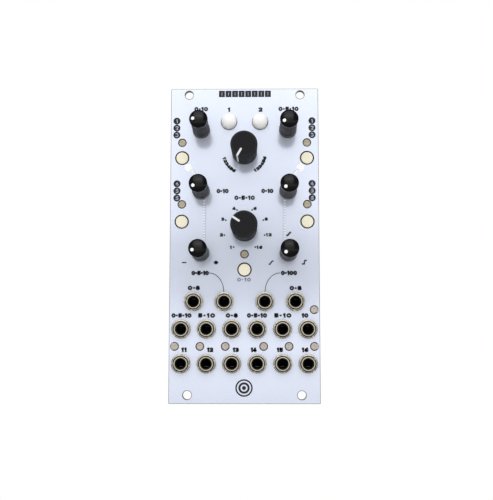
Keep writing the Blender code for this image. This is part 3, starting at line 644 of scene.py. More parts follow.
# Bold figures as the middle lines of their strokes, in a box one high: the width of each, then its paths
HOOK = [(0.02, 0.34), (0.1, 0.66), (0.3, 0.9), (0.56, 1)]
FIGURES = {
    "-": (0.22, [[(0.08, 0.5), (0.14, 0.5)]]),
    "0": (0.66, [loop(0.33, 0.5, 0.33, 0.5)]),
    "1": (0.3, [[(0.24, 0), (0.24, 1)], [(0.08, 0.84), (0.2, 0.94)]]),
    "2": (0.6, [bow(0.3, 0.72, 0.3, 0.28, -58, 112) + [(0.12, 0.04)], [(0.06, 0), (0.58, 0)]]),
    "3": (0.58, [bow(0.27, 0.75, 0.26, 0.25, -50, 160), bow(0.27, 0.26, 0.31, 0.27, 20, 225)]),
    "4": (0.66, [[(0.4, 0.96), (0.04, 0.26)], [(0.06, 0.26), (0.66, 0.26)], [(0.44, 0), (0.44, 1)]]),
    "5": (0.6, [[(0.1, 1), (0.54, 1)], [(0.09, 0.96), (0.07, 0.55)], bow(0.25, 0.31, 0.35, 0.31, -30, 208)]),
    "6": (0.64, [loop(0.32, 0.28, 0.31, 0.28), HOOK]),
    "7": (0.56, [[(0.02, 1), (0.52, 1)], [(0.5, 0.94), (0.2, 0)]]),
    "8": (0.62, [loop(0.31, 0.76, 0.25, 0.24), loop(0.31, 0.26, 0.3, 0.26)]),
    "9": (0.64, [loop(0.32, 0.72, 0.31, 0.28), [(0.64 - x, 1 - z) for x, z in HOOK]]),
}


def digits(text, x, z, height, look, turn=0.0, width=None, stroke=STROKE_SHARE, gap=FIGURE_GAP):
    """Bold figures centred on a point of the panel; height, and width where one is given, are in mm."""
    height *= MM
    strokes, reach = [], 0.0
    for sign in text:
        across, paths = FIGURES[sign]
        strokes += [[(reach + stroke / 2 + px, pz) for px, pz in points] for points in paths]
        reach += across + stroke + gap
    reach -= gap
    stretch = width * MM / (reach * height) if width else 1.0
    parts = []
    for points in strokes:
        path = [Vector(((px - reach / 2) * stretch, (pz - 0.5) * (1 - stroke))) * height for px, pz in points]
        closed = len(points) == LOOP_POINTS
        if not closed:
            path[0] += (path[0] - path[1]).normalized() * stroke * height / 2
            path[-1] += (path[-1] - path[-2]).normalized() * stroke * height / 2
        parts.append(band("stroke", path, stroke * height, 2 * INK, look, closed))
    return at(merged("figures", parts), x, z, turn)


# What is printed on the panel; every table in this part is in mm

LABEL_HEIGHT = 1.85
# Text, x, z, and the width that it is stretched to
LABELS = (
    ("0-10", -17.9, 55.3, 5.6), ("1", -6.45, 55.05, None), ("2", 6.55, 55.05, None),
    ("0-5-10", 18.1, 55.3, 8.2),
    ("0-10", -8.95, 21.05, 4.8), ("0-10", 9.3, 21.05, 4.8), ("0-5-10", 0.03, 18.25, 8.3),
    ("0-5-10", -17.9, -12.5, 6.9), ("0-100", 17.95, -12.5, 6.4),
    ("0-8", -20.4, -18.5, 4.9), ("0-8", 20.6, -18.6, 4.9),
    ("0-5-10", -25.3, -29.6, 8.0), ("5-10", -15.25, -29.6, 7.0), ("0-8", -5.08, -29.6, 4.9),
    ("0-5-10", 5.04, -29.6, 8.0), ("5-10", 15.35, -29.6, 7.1), ("10", 24.25, -29.6, 2.7),
    ("11", -24.2, -43.3, 2.2), ("12", -13.75, -43.3, 2.5), ("13", -3.5, -43.3, 2.5),
    ("14", 3.67, -43.3, 2.3), ("15", 14.14, -43.3, 2.5), ("16", 24.2, -43.3, 2.7),
)
BUTTON_LABEL = ("0-10", -0.19, -15.2, 5.6)
BUTTON_LABEL_HEIGHT = 1.5
BUTTON_LABEL_STROKE = 0.28

BLOCK_COUNT, BLOCK_START, BLOCK_STEP = 8, -9.35, 2.71
BLOCK_WIDTH, BLOCK_LOW, BLOCK_HIGH = 2.45, 60.35, 63.05
BLOCK_LINE_WIDTH, BLOCK_LINE_LOW, BLOCK_LINE_HIGH = 0.2, 61.0, 62.4

ICON_PLACES = ((-27.85, (50.3, 47.35, 44.4)), (-27.6, (24.1, 21.15, 18.2)),
               (27.7, (50.3, 47.35, 44.4)), (27.55, (24.1, 21.15, 18.2)))
ICON_RADIUS = 1.45
ICON_FIGURE_HEIGHT = 1.6
ICON_STROKE = 0.2

DIAL_FIGURES = ("1", "2", "3", "4", "6", "8", "12", "16")
DIAL_START, DIAL_STEP = math.radians(-149.0), math.radians(42.57)
DIAL_REACH, DIAL_RISE, DIAL_LIFT = 8.5, 8.9, 0.25
DIAL_ASIDE, DIAL_ASIDE_PER_FIGURE = 0.75, 0.45
DIAL_DOT_RADIUS = 0.36
DIAL_HEIGHT, DIAL_STROKE = 1.4, 0.38

ARC_COUNT, ARC_START, ARC_STEP, ARC_REACH = 6, 105.0, 8.9, 8.55
ARC_HEIGHT, ARC_STROKE = 1.45, 0.4

# Strokes round the lower slim knobs: the points of each, then its width
BAR_MARK = (((-25.3, -8.25), (-23.5, -8.25)), 0.5)
DIAMOND_RADIUS, DIAMOND_PLACE = 0.78, (-11.52, -8.23)
STEP_MARKS = (
    (((-12.5, -8.23), (-10.5, -8.23)), 0.42),
    (((9.75, -8.95), (10.35, -8.9), (10.95, -7.95), (11.7, -7.5)), 0.56),
    (((17.0, 2.6), (17.7, 3.0), (18.3, 3.8), (18.9, 4.1)), 0.7),
    (((23.1, -8.85), (24.1, -8.85), (24.35, -7.45), (25.2, -7.45)), 0.56),
)

# Where the two lines from the labels to the inner sockets start and end across
LEADS = ((-14.25, -8.35), (14.35, 8.3))
LEAD_POINTS, LEAD_TOP, LEAD_FALL, LEAD_WIDTH = 25, -12.5, 7.6, 0.28

DOTTED_COUNT, DOTTED_RADIUS, DOTTED_BEND = 20, 0.1, -0.9
DOTTED_START, DOTTED_REACH = (0.05, -17.4), (4.6, -10.4)

# Where the rungs of each ladder and its rail stand across
LADDERS = ((-16.4, -15.75), (16.36, 15.7))
RUNG_COUNT, RUNG_STEP, RUNG_TOP, RUNG_HALF, RUNG_WIDTH = 15, -1.11, 17.0, 0.38, 0.4
RAIL_TOP, RAIL_LOW, RAIL_WIDTH = 17.3, 0.9, 0.16

WHITE_DOT_RADIUS, WHITE_DOT_X, WHITE_DOT_Z = 1.6, 22.95, 30.86
WHITE_STROKE, WHITE_STROKE_WIDTH = ((21.9, 29.9), (19.6, 27.2), (18.6, 25.2)), 0.5
WHITE_SEAM, WHITE_SEAM_WIDTH = ((20.9, 29.6), (18.9, 27.4)), 0.12
HALO_RADIUS, HALO_HOLE = 3.75, 3.25

EMBLEM_X, EMBLEM_Z = -0.16, -58.39
EMBLEM_RINGS = ((3.45, 2.85), (2.25, 1.4), (0.8, 0))


def print_labels(ink):
    """The numbers over the controls and sockets."""
    for text, x, z, width in LABELS:
        stroke = STROKE_SHARE if z > 0 else SOCKET_STROKE_SHARE
        ink["black"].append(digits(text, x * MM, z * MM, LABEL_HEIGHT, INK_BLACK, width=width, stroke=stroke,
                                   gap=LABEL_GAP))
    text, x, z, width = BUTTON_LABEL
    ink["grey"].append(digits(text, x * MM, z * MM, BUTTON_LABEL_HEIGHT, INK_GREY, width=width,
                              stroke=BUTTON_LABEL_STROKE))


def print_heading(ink):
    """A row of plain blocks, each with a pale line inside, in the heading's place."""
    for number in range(BLOCK_COUNT):
        x = BLOCK_START + number * BLOCK_STEP
        ink["black"].append(line(((x, BLOCK_LOW), (x, BLOCK_HIGH)), BLOCK_WIDTH, INK_BLACK))
        inside = line(((x, BLOCK_LINE_LOW), (x, BLOCK_LINE_HIGH)), BLOCK_LINE_WIDTH, INK_PALE)
        ink["pale"].append(at(inside, y=-INK / 2))


def print_icons(ink):
    """Discs with a figure beside the side buttons."""
    for count, (x, heights) in enumerate(ICON_PLACES):
        for number, z in enumerate(heights, 1 + 3 * (count % 2)):
            ink["black"].append(disc(ICON_RADIUS * MM, INK_BLACK, x * MM, z * MM))
            figure = digits(str(number), x * MM, z * MM, ICON_FIGURE_HEIGHT, INK_PALE, stroke=ICON_STROKE)
            ink["pale"].append(at(figure, y=-INK / 2))


def print_dial(ink):
    """Dots and figures round the lower large knob."""
    _, knob_x, knob_z, _ = knob_places("large")[1]
    dot = at(disc(DIAL_DOT_RADIUS * MM, INK_BLACK, sides=16), z=DIAL_REACH * MM)
    dots = ring(dot, len(DIAL_FIGURES), DIAL_START, DIAL_STEP, INK_BLACK)
    ink["black"].append(at(dots, knob_x, knob_z))
    for number, text in enumerate(DIAL_FIGURES):
        turn = DIAL_START + DIAL_STEP * number
        aside = DIAL_ASIDE + DIAL_ASIDE_PER_FIGURE * len(text)
        x = DIAL_REACH * math.sin(turn) + math.copysign(aside, turn)
        z = DIAL_RISE * math.cos(turn) + DIAL_LIFT
        ink["black"].append(digits(text, knob_x + x * MM, knob_z + z * MM, DIAL_HEIGHT, INK_BLACK,
                                   stroke=DIAL_STROKE))


def print_arcs(ink):
    """Small figures along two arcs under the upper large knob."""
    _, knob_x, knob_z, _ = knob_places("large")[0]
    reach = ARC_REACH * MM
    for side in (-1, 1):
        for number in range(ARC_COUNT):
            angle = math.radians(side * (ARC_START + ARC_STEP * number))
            text = str(number + 1) if side < 0 else str(ARC_COUNT - number)
            x, z = knob_x + reach * math.sin(angle), knob_z + reach * math.cos(angle)
            ink["black"].append(digits(text, x, z, ARC_HEIGHT, INK_BLACK, turn=angle + math.pi,
                                       stroke=ARC_STROKE))


def print_marks(ink):
    """Marks round the lower slim knobs, and the fine lines from their labels to the inner sockets."""
    ink["black"].append(line(*BAR_MARK, INK_BLACK))
    x, z = DIAMOND_PLACE
    ink["black"].append(disc(DIAMOND_RADIUS * MM, INK_BLACK, x * MM, z * MM))
    for points, width in STEP_MARKS:
        ink["black"].append(line(points, width, INK_BLACK))
    for start, end in LEADS:
        curve = []
        for number in range(LEAD_POINTS):
            turn = number / (LEAD_POINTS - 1) * math.pi / 2
            curve.append((start + (end - start) * math.sin(turn),
                          LEAD_TOP - LEAD_FALL * (1 - math.cos(turn))))
        ink["black"].append(line(curve, LEAD_WIDTH, INK_BLACK))
    for number in range(DOTTED_COUNT):
        share = number / (DOTTED_COUNT - 1)
        x = DOTTED_START[0] + DOTTED_REACH[0] * share + math.sin(share * math.pi) * DOTTED_BEND
        z = DOTTED_START[1] + DOTTED_REACH[1] * share
        ink["pale"].append(disc(DOTTED_RADIUS * MM, INK_PALE, x * MM, z * MM, sides=8))


def print_ladders(ink):
    """Pale ladders beside fine grey lines, white dots with their strokes, and a halo round one button."""
    rung = band("rung", ((-RUNG_HALF * MM, 0), (RUNG_HALF * MM, 0)), RUNG_WIDTH * MM, 2 * INK, INK_FAINT)
    for x, rail_x in LADDERS:
        rungs = row(rung, RUNG_COUNT, (0, 0, RUNG_STEP * MM), INK_FAINT)
        ink["faint"].append(at(rungs, x * MM, RUNG_TOP * MM))
        ink["pale"].append(line(((rail_x, RAIL_TOP), (rail_x, RAIL_LOW)), RAIL_WIDTH, INK_PALE))
    for side in (-1, 1):
        ink["white"].append(disc(WHITE_DOT_RADIUS * MM, INK_WHITE, side * WHITE_DOT_X * MM, WHITE_DOT_Z * MM))
        for name, points, width, look in (("white", WHITE_STROKE, WHITE_STROKE_WIDTH, INK_WHITE),
                                          ("pale", WHITE_SEAM, WHITE_SEAM_WIDTH, INK_PALE)):
            ink[name].append(line([(side * x, z) for x, z in points], width, look))
    halo = middle("button_flush_lower_right")
    ink["faint"].append(disc(HALO_RADIUS * MM, INK_FAINT, halo.x, halo.z, sides=64, hole=HALO_HOLE * MM))


def print_emblem(ink):
    """Plain rings low on the panel."""
    for radius, hole in EMBLEM_RINGS:
        ink["black"].append(disc(radius * MM, INK_BLACK, EMBLEM_X * MM, EMBLEM_Z * MM, sides=64,
                                 hole=hole * MM))


def make_printing():
    """Plain figures, strokes and rings where the module carries its printing, one piece for each ink."""
    ink = {name: [] for name in ("black", "white", "grey", "pale", "faint")}
    for lay in (print_labels, print_heading, print_icons, print_dial, print_arcs, print_marks, print_ladders,
                print_emblem):
        lay(ink)
    for name, parts in ink.items():
        piece("print_" + name, merged("print_" + name, printed(parts)), "module", "panel_aluminium")


# Knobs

KNOB_BACK = PANEL_FRONT - 0.6 * MM
KNOB_SIDES = 128
BORE_GAP = 0.15 * MM

LARGE_RADIUS = 5.35 * MM
LARGE_TAPER = 0.25 * MM
LARGE_HEIGHT = 15.5 * MM
LARGE_RIM = 0.75 * MM
LARGE_EDGE = 0.35 * MM
LARGE_SHOULDER = 0.8 * MM
LARGE_BORE_DEPTH = 12.0 * MM
FACE_SUNK = 0.06 * MM
SHAFT_EDGE = 0.3 * MM

POINTER_WIDTH = 0.8 * MM
POINTER_START = 1.9 * MM
POINTER_LENGTH = 12.6 * MM
POINTER_PROUD = 0.03 * MM
POINTER_SUNK = 0.25 * MM
POINTER_COLUMNS = 6
POINTER_FLAT_ROWS = 4

SLIM_SIDES = 96
SLIM_RADIUS = 3.42 * MM
SLIM_HEIGHT = 18.6 * MM
SLIM_DOME_RISE = 1.4 * MM
SLIM_DOME_RADIUS = 3.62 * MM
SLIM_DOME_BAND = 0.9 * MM
SLIM_RIM_RADIUS = 3.6 * MM
SLIM_RIM_HEIGHT = 1.3 * MM
# Height of the painted glint band above the knob's foot
SLIM_GLINT_HEIGHT = 0.18 * MM
SLIM_LIP = 0.12 * MM
DOT_RADIUS = 0.65 * MM
DOT_PLACE = 2.15 * MM
DOT_PROUD = 0.03 * MM
DOT_SUNK = 0.2 * MM


def make_large_knobs():
    """The two large knobs with their pointers, and the shafts that they sit on."""
    face = KNOB_BACK - LARGE_HEIGHT
    rim = LARGE_RADIUS - LARGE_RIM
    base = LARGE_RADIUS - LARGE_TAPER
    bore = SHAFT_RADIUS + BORE_GAP
    bore_end = KNOB_BACK - LARGE_BORE_DEPTH
    round_over = rounding(LARGE_RADIUS - LARGE_EDGE, face + LARGE_EDGE, LARGE_EDGE, LARGE_EDGE, 5)
    foot = [(base, KNOB_BACK - LARGE_EDGE), (base - 0.12 * MM, KNOB_BACK - 0.1 * MM),
            (base - LARGE_EDGE, KNOB_BACK)]
    body = turned("knob", (
        ([(0, face + FACE_SUNK), (rim, face + FACE_SUNK), (rim, face)], KNOB_FACE),
        ([(rim, face), *round_over], KNOB_RIM),
        ([round_over[-1], (LARGE_RADIUS - LARGE_TAPER * 0.05, face + LARGE_SHOULDER), foot[0]], KNOB_SIDE),
        ([*foot, (bore, KNOB_BACK), (bore, bore_end), (0, bore_end)], KNOB_RIM),
    ), KNOB_SIDES)
    knob = merged("knob_large", (body, make_pointer(face)))
    rod_front = bore_end + SEAT_GAP
    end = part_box("shaft_large_upper")[1].y
    rod_points = ((0, rod_front), (SHAFT_RADIUS, rod_front), (SHAFT_RADIUS, end), (0, end))
    rod = spun("rod", softened(rod_points, SHAFT_EDGE), SHAFT_METAL)
    for body_name, x, z, angle in knob_places("large"):
        which = body_name.rsplit("_", 1)[1]
        piece("turning_knob_" + which, at(knob, x, z, angle), body_name, "knob_matte", "knob_large_" + which)
        piece("turning_shaft_" + which, at(rod, x, z, angle), body_name, "shaft", "shaft_large_" + which)


def make_pointer(face):
    """White pointer that runs over the knob's face, round its rim and down its side."""
    path = [(POINTER_START, face + FACE_SUNK), (LARGE_RADIUS - 0.85 * MM, face + 0.04 * MM),
            (LARGE_RADIUS - 0.7 * MM, face)]
    path += rounding(LARGE_RADIUS - LARGE_EDGE, face + LARGE_EDGE, LARGE_EDGE, LARGE_EDGE, 6)
    lean = LARGE_TAPER / LARGE_HEIGHT
    path.append((LARGE_RADIUS - lean * POINTER_LENGTH, face + POINTER_LENGTH))
    bm = bmesh.new()
    rows = []
    for number, (radius, y) in enumerate(path):
        before, after = path[max(number - 1, 0)], path[min(number + 1, len(path) - 1)]
        along = Vector((after[0] - before[0], after[1] - before[1])).normalized()
        out = Vector((along.y, -along.x))
        near = []
        for depth in (POINTER_PROUD, -POINTER_SUNK):
            for column in range(POINTER_COLUMNS + 1):
                share = column / POINTER_COLUMNS * 2 - 1
                side = share * POINTER_WIDTH / 2
                reach = radius + out.x * depth
                if number == 0:
                    reach += POINTER_WIDTH / 2 * (1 - math.sqrt(1 - share * share))
                fall = reach - math.sqrt(reach * reach - side * side) if number >= POINTER_FLAT_ROWS else 0.0
                near.append(bm.verts.new((side, y + out.y * depth, reach - fall)))
        rows.append(near)
    width = POINTER_COLUMNS + 1
    for near, far in zip(rows, rows[1:]):
        for column in range(POINTER_COLUMNS):
            bm.faces.new((near[column], near[column + 1], far[column + 1], far[column]))
            low, high = width + column, width + column + 1
            bm.faces.new((near[low], far[low], far[high], near[high]))
        for column, other in ((0, width), (POINTER_COLUMNS, width + POINTER_COLUMNS)):
            bm.faces.new((near[column], far[column], far[other], near[other]))
    for end in (rows[0], rows[-1]):
        for column in range(POINTER_COLUMNS):
            bm.faces.new((end[column], end[column + 1], end[width + column + 1], end[width + column]))
    bmesh.ops.recalc_face_normals(bm, faces=bm.faces)
    return mesh_from(bm, "pointer", [POINTER_PAINT])


def make_slim_knobs():
    """The six slim knobs, each moulded in one with its shaft."""
    dome = KNOB_BACK - SLIM_HEIGHT + SLIM_DOME_RISE
    band_end = dome + SLIM_DOME_BAND
    rim = KNOB_BACK - SLIM_RIM_HEIGHT
    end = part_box("knob_slim_upper_left")[1].y
    under_dome = (SLIM_DOME_RADIUS - SLIM_LIP, band_end)
    over_glint = (SLIM_RADIUS, rim - SLIM_GLINT_HEIGHT)
    rim_start = (SLIM_RIM_RADIUS - SLIM_LIP * 0.5, rim)
    body = turned("slim", (
        ([*rounding(0, dome, SLIM_DOME_RADIUS, SLIM_DOME_RISE, 14), (SLIM_DOME_RADIUS, band_end - SLIM_LIP),
          under_dome], GLOSS_DOME),
        ([under_dome, (SLIM_RADIUS, band_end + SLIM_LIP), over_glint], SATIN_SIDE),
        # Painted glint: a lighter band between the side and the black foot
        ([over_glint, (SLIM_RADIUS - 0.06 * MM, rim - 0.1 * MM), (SLIM_RADIUS - 0.02 * MM, rim), rim_start],
         RIM_GLINT),
        ([rim_start, (SLIM_RIM_RADIUS, rim + SLIM_LIP), (SLIM_RIM_RADIUS, KNOB_BACK - SLIM_LIP),
          (SLIM_RIM_RADIUS - SLIM_LIP, KNOB_BACK), (SHAFT_RADIUS, KNOB_BACK)], FOOT_BLACK),
        ([(SHAFT_RADIUS, KNOB_BACK), (SHAFT_RADIUS, end - SHAFT_EDGE), (SHAFT_RADIUS - SHAFT_EDGE, end),
          (0, end)], SATIN_SIDE),
    ), SLIM_SIDES)
    knob = merged("slim_knob", (body, make_dot(dome)))
    for body_name, x, z, angle in knob_places("slim"):
        which = body_name.replace("knob_slim_", "")
        piece("slim_knob_" + which, at(knob, x, z, angle), body_name, "knob_gloss", body_name)


def make_dot(dome):
    """White dot that lies on the dome."""
    bm = bmesh.new()
    rings = []
    sides = 32

    def lift(x, z):
        """The depth of the dome's surface at a place."""
        share = min(1.0, (x * x + z * z) / SLIM_DOME_RADIUS ** 2)
        return dome - SLIM_DOME_RISE * math.sqrt(1 - share)

    for radius, sunk in ((DOT_RADIUS * 0.5, -DOT_PROUD), (DOT_RADIUS * 0.9, -DOT_PROUD),
                         (DOT_RADIUS, -DOT_PROUD * 0.4), (DOT_RADIUS, DOT_SUNK)):
        near = []
        for turn in around(sides):
            x, z = radius * math.sin(turn), DOT_PLACE + radius * math.cos(turn)
            near.append(bm.verts.new((x, lift(x, z) + sunk, z)))
        rings.append(near)
    for near, far in zip(rings, rings[1:]):
        joined(bm, near, far)
    for near, sunk in ((rings[0], -DOT_PROUD), (rings[-1], DOT_SUNK)):
        centre = bm.verts.new((0, lift(0, DOT_PLACE) + sunk, DOT_PLACE))
        for number in range(sides):
            bm.faces.new((near[number], near[(number + 1) % sides], centre))
    bmesh.ops.recalc_face_normals(bm, faces=bm.faces)
    return mesh_from(bm, "dot", [DOT_WHITE])


# Buttons and lights

FLUSH_RADIUS = 2.42 * MM
FLUSH_EDGE = 0.3 * MM
FLUSH_CROWN = 0.02 * MM
FLUSH_GAP = 0.35 * MM
DOMED_RADIUS = 3.12 * MM
DOMED_RISE = 2.3 * MM
DOMED_GAP = 0.2 * MM
FLANGE_OVERLAP = 0.6 * MM
STEM_RADIUS = 1.7
LIGHT_RADIUS = 1.5 * MM
LIGHT_SUNK = 0.2 * MM


def cap(front, radius, hole_gap, node, look):
    """A button cap: its front, then a flange behind the panel and a stem down to the switch, these two in
    black as painted shade that darkens the gap round the cap.
    """
    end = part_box(node)[1].y
    flange = radius + hole_gap + FLANGE_OVERLAP
    back = [(radius, SEAT_GAP), *profile(SEAT_GAP, (-0.1, 0), (0, 0.1), (0, 0.7), (-0.1, 0.8), radius=flange),
            *profile(SEAT_GAP, (STEM_RADIUS, 0.8)), *profile(end, (STEM_RADIUS, -0.2), (1.5, 0), (0, 0))]
    # The flange and stem are black though the real cap is one coloured moulding: painted shade for the gap
    # round the cap
    return turned("cap", (([*front, back[0]], look), (back, MOULDED_BLACK)))


def make_buttons():
    """The flush cream caps and the domed white caps."""
    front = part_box("button_flush_centre")[0].y
    points = [(0, front), (FLUSH_RADIUS * 0.6, front + 0.005 * MM)]
    points += rounding(FLUSH_RADIUS - FLUSH_EDGE, front + FLUSH_CROWN + FLUSH_EDGE, FLUSH_EDGE, FLUSH_EDGE, 5)
    flush = cap(points, FLUSH_RADIUS, FLUSH_GAP, "button_flush_centre", CREAM_CAP)
    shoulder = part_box("button_domed_left")[0].y + DOMED_RISE
    points = rounding(0, shoulder, DOMED_RADIUS, DOMED_RISE, 18)
    domed = cap(points, DOMED_RADIUS, DOMED_GAP, "button_domed_left", WHITE_CAP)
    for nodes, kind, colour, mesh in ((FLUSH_BUTTONS, "flush", "cream", flush),
                                      (DOMED_BUTTONS, "domed", "white", domed)):
        for node in nodes:
            place = middle(node)
            piece(node.replace("button_" + kind, colour + "_button"), at(mesh, place.x, place.z), node,
                  "button_" + colour, node)


def make_lights():
    """Light columns from the board to the panel, their fronts with a shallow dip in the middle."""
    front = PANEL_FRONT + LIGHT_SUNK
    core = 0.62 * MM
    shape = [(0, front + 0.12 * MM), (core * 0.7, front + 0.1 * MM), (core, front + 0.03 * MM),
             (core + 0.12 * MM, front),
             *profile(front, (-0.3, 0.03), (-0.1, 0.12), (0, 0.4), radius=LIGHT_RADIUS),
             (LIGHT_RADIUS, BOARD_FRONT), (0, BOARD_FRONT)]
    pink, warm = (spun("lens", shape, look, 48) for look in (LENS_PINK, LENS_WARM))
    for number, (x, z) in enumerate(light_places(), 1):
        lens = pink if number <= SOCKET_LIGHTS else warm
        piece(f"light_column_{number:02d}", at(lens, x, z), "module", "board", "control_board")


# Sockets, nuts and potentiometers

BUSHING_RADIUS = 3.0 * MM
MOUTH_RADIUS = 2.27
TUBE_RADIUS = 1.85
TUBE_END = 8.5 * MM
THREAD_PITCH = 0.5 * MM
THREAD_DEPTH = 0.12 * MM
JACK_HALF = 4.5
JACK_LONG = 5.7
JACK_BACK = 9.7
CONTACT_FRONT = 3.4
CONTACT_THICKNESS = 0.3
NUT_HOLE_RADIUS = 3.15 * MM
NUT_EDGE = 0.4 * MM
NOTCH_COUNT = 4
NOTCH_WIDTH = 0.95 * MM
NOTCH_DEPTH = 1.3 * MM
# The turn in degrees at which each nut came to rest
NUT_TURNS = {"upper": (12, 37, 61, 5), "middle": (48, 71, 22, 84, 30, 55), "lower": (8, 66, 41, 17, 77, 52)}


def blocks(parts, steps=2):
    """Small blocks from rows of name, low and high corner in mm, edge in mm, and finish."""
    return [block(name, mm_point(*low), mm_point(*high), edge * MM, look, steps)
            for name, low, high, edge, look in parts]


def make_sockets():
    """The sockets: a threaded bushing with its tube and washer, and a moulded body with contacts."""
    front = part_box("jack_upper_1")[0].y
    thread = []
    y = front + 0.3 * MM
    while y < SEAT_GAP - THREAD_PITCH:
        thread += [(BUSHING_RADIUS, y), (BUSHING_RADIUS - THREAD_DEPTH, y + THREAD_PITCH * 0.5)]
        y += THREAD_PITCH
    lip = [*profile(front, (MOUTH_RADIUS, 0.1), (MOUTH_RADIUS + 0.1, 0)),
           *profile(front, (-0.25, 0), (-0.2, 0.06), radius=BUSHING_RADIUS)]
    tube = [*profile(front, (MOUTH_RADIUS, 0.1), (MOUTH_RADIUS, 0.7), (TUBE_RADIUS, 1.0)),
            *profile(TUBE_END, (1.8, 0), (0, 0))]
    # The thread between lip and nut has the dark finish: painted shade in the gap round the nut
    bushing = turned("bushing", ((lip, NICKEL), ([lip[-1], *thread, (BUSHING_RADIUS, SEAT_GAP)], THREAD_SHADE),
                                 (tube, SOCKET_BLACK)))
    ring_of_steel = profile(SEAT_GAP, (3.02, -0.05), (4.2, -0.05), (4.3, 0.2), (3.02, 0.2), (3.02, -0.05))
    washer = spun("washer", ring_of_steel, STEEL)
    half, seat, leaf_front = JACK_HALF, SEAT_GAP / MM, front / MM + 4.2
    board, thick = BOARD_FRONT / MM, CONTACT_THICKNESS
    body = plate("body", mm_point(-half, seat + 0.2, -half), mm_point(half, JACK_BACK, JACK_LONG - 0.5),
                 0.5 * MM, 0.15 * MM, [(0, 0, TUBE_RADIUS * MM)], 0.02 * MM, MOULDED_BLACK, MOULDED_BLACK, 32)
    rest = blocks((
        ("shoulder", (0.6 - half, seat + 1.6, JACK_LONG - 1.2), (half - 0.6, JACK_BACK, JACK_LONG), 0.2,
         MOULDED_BLACK),
        ("ground", (-1.4, seat + 0.6, -half), (1.4, board, 0.35 - half), 0.05, STEEL),
        ("side_contact", (half - thick, CONTACT_FRONT, -1.3), (half, board, 1.3), 0.05, STEEL),
        ("other_contact", (-half, CONTACT_FRONT, -1.3), (thick - half, board, 1.3), 0.05, STEEL),
        # The leaf deep in the bore is darkened nickel: painted shade
        ("leaf", (-0.8, leaf_front, 1.05), (0.8, 6, 1.35), 0.1, CONTACT_SHADED),
    ))
    socket = merged("socket", [bushing, washer, body, *rest])
    for node in JACKS:
        x, z, flip = jack_place(node)
        turn = 0.0 if flip > 0 else math.pi
        piece(node.replace("jack_", "socket_"), at(socket, x, z, turn), "module", "jack", node)


def jack_place(node):
    """A socket's x and z, and 1 where its longer end points up or -1 where it points down."""
    low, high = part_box(node)
    place = middle(node.replace("jack_", "jack_nut_"))
    return place.x, place.z, -1 if place.z - low.z > high.z - place.z else 1


def make_nuts():
    """The round nuts, with notches cut across their fronts."""
    low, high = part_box("jack_nut_upper_1")
    front, back = low.y, high.y
    outer = (high.x - low.x) / 2
    inner = NUT_HOLE_RADIUS
    points = [(inner, front + 0.12 * MM), (inner + 0.08 * MM, front), (outer - NUT_EDGE, front),
              (outer - NUT_EDGE * 0.45, front + 0.1 * MM), (outer - 0.06 * MM, front + NUT_EDGE * 0.8),
              (outer, front + NUT_EDGE * 1.3), (outer, back - 0.12 * MM), (outer - 0.12 * MM, back),
              (inner, back)]
    plain = spun("nut", points + points[:1], NUT_NICKEL)
    slotted = SLOTTED.grow("slotted_nut", plain, Front=front, Reach=outer, Notch_Width=NOTCH_WIDTH,
                           Notch_Depth=NOTCH_DEPTH, Notch_Count=NOTCH_COUNT,
                           Notch_Step=2 * math.pi / NOTCH_COUNT, Finish=NUT_NICKEL)
    for node in NUTS:
        row_name, number = node.rsplit("_", 2)[1:]
        turn = math.radians(NUT_TURNS[row_name][int(number) - 1])
        place = middle(node)
        nut = at(slotted, place.x, place.z, turn)
        piece(node.replace("jack_nut", "slotted_nut"), nut, "module", "jack_nut", node)


def make_potentiometers():
    """The turning sensors behind the knobs: collar, cover, housing, side tabs and three pins."""
    low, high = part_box("potentiometer_large_upper")
    knob_z = knob_places("large")[0][2]
    half = (high.x - low.x) / 2 / MM
    top, bottom, back = (high.z - knob_z) / MM, (low.z - knob_z) / MM, high.y / MM
    seat, board = SEAT_GAP / MM, BOARD_FRONT / MM
    cover, bore = 2.9, 3.15
    outer = profile(0, (bore, seat), (bore + 0.75, seat), (bore + 0.9, seat + 0.2),
                    (bore + 0.9, cover + 0.5))
    inner = profile(0, (bore, seat), (bore, back - 0.8), (0, back - 0.8))
    # The collar's bore is darkened nickel: painted shade
    parts = [turned("collar", ((outer, STEEL), (inner, CONTACT_SHADED)))]
    for name, start, end, corner, chamfer, look in (
        ("cover", (-half, cover, bottom + 1.6), (half, cover + 0.6, top), 0.6, 0.1, STEEL),
        ("housing", (0.1 - half, cover + 0.6, bottom), (half - 0.1, back, top - 0.1), 0.7, 0.15,
         MOULDED_BLACK),
    ):
        parts.append(plate(name, mm_point(*start), mm_point(*end), corner * MM, chamfer * MM,
                           [(0, 0, bore * MM)], 0.05 * MM, look, look, 48))
    for edge_x in (0.15 - half, half - 0.15):
        parts += blocks((("tab", (edge_x - 0.15, cover, -0.4), (edge_x + 0.15, board, 2.6), 0.05, STEEL),))
    pin, = blocks((("pin", (-0.35, back - 2.4, bottom), (0.35, board, bottom + 0.3), 0.04, TIN),))
    parts.append(at(row(pin, 3, (2.5 * MM, 0, 0), TIN), -2.5 * MM))
    pot = merged("pot", parts)
    for body_name, x, z, _ in knob_places("large", "slim"):
        node = body_name.replace("knob_", "potentiometer_")
        piece(node.replace("potentiometer", "turning_sensor"), at(pot, x, z), "module", "potentiometer", node)


# Circuit board: its larger parts

BOARD_CHAMFER = 0.08 * MM
BOARD_CORNER = 1.0 * MM
SWITCH_HALF = 3.0
SWITCH_FRONT = 6.5
PLUNGER_RADIUS = 1.7
PLUNGER_FRONT = 5.5

# Places of the chips and capacitors, as shares of the board's half width and half height
PROCESSOR_PLACE = (0.46, 0.11)
CONVERTER_PLACES = ((-0.587, 0.116), (-0.353, 0.116))
AMPLIFIER_PLACES = ((-0.83, -0.27), (-0.31, -0.27), (0.31, -0.27), (0.83, -0.27))
REGULATOR_PLACES = ((-0.52, 0.64), (0.52, 0.64))
CRYSTAL_PLACE = (0.78, 0.04)
CAPACITOR_PLACES = ((-0.66, 0.5), (0.66, 0.5))

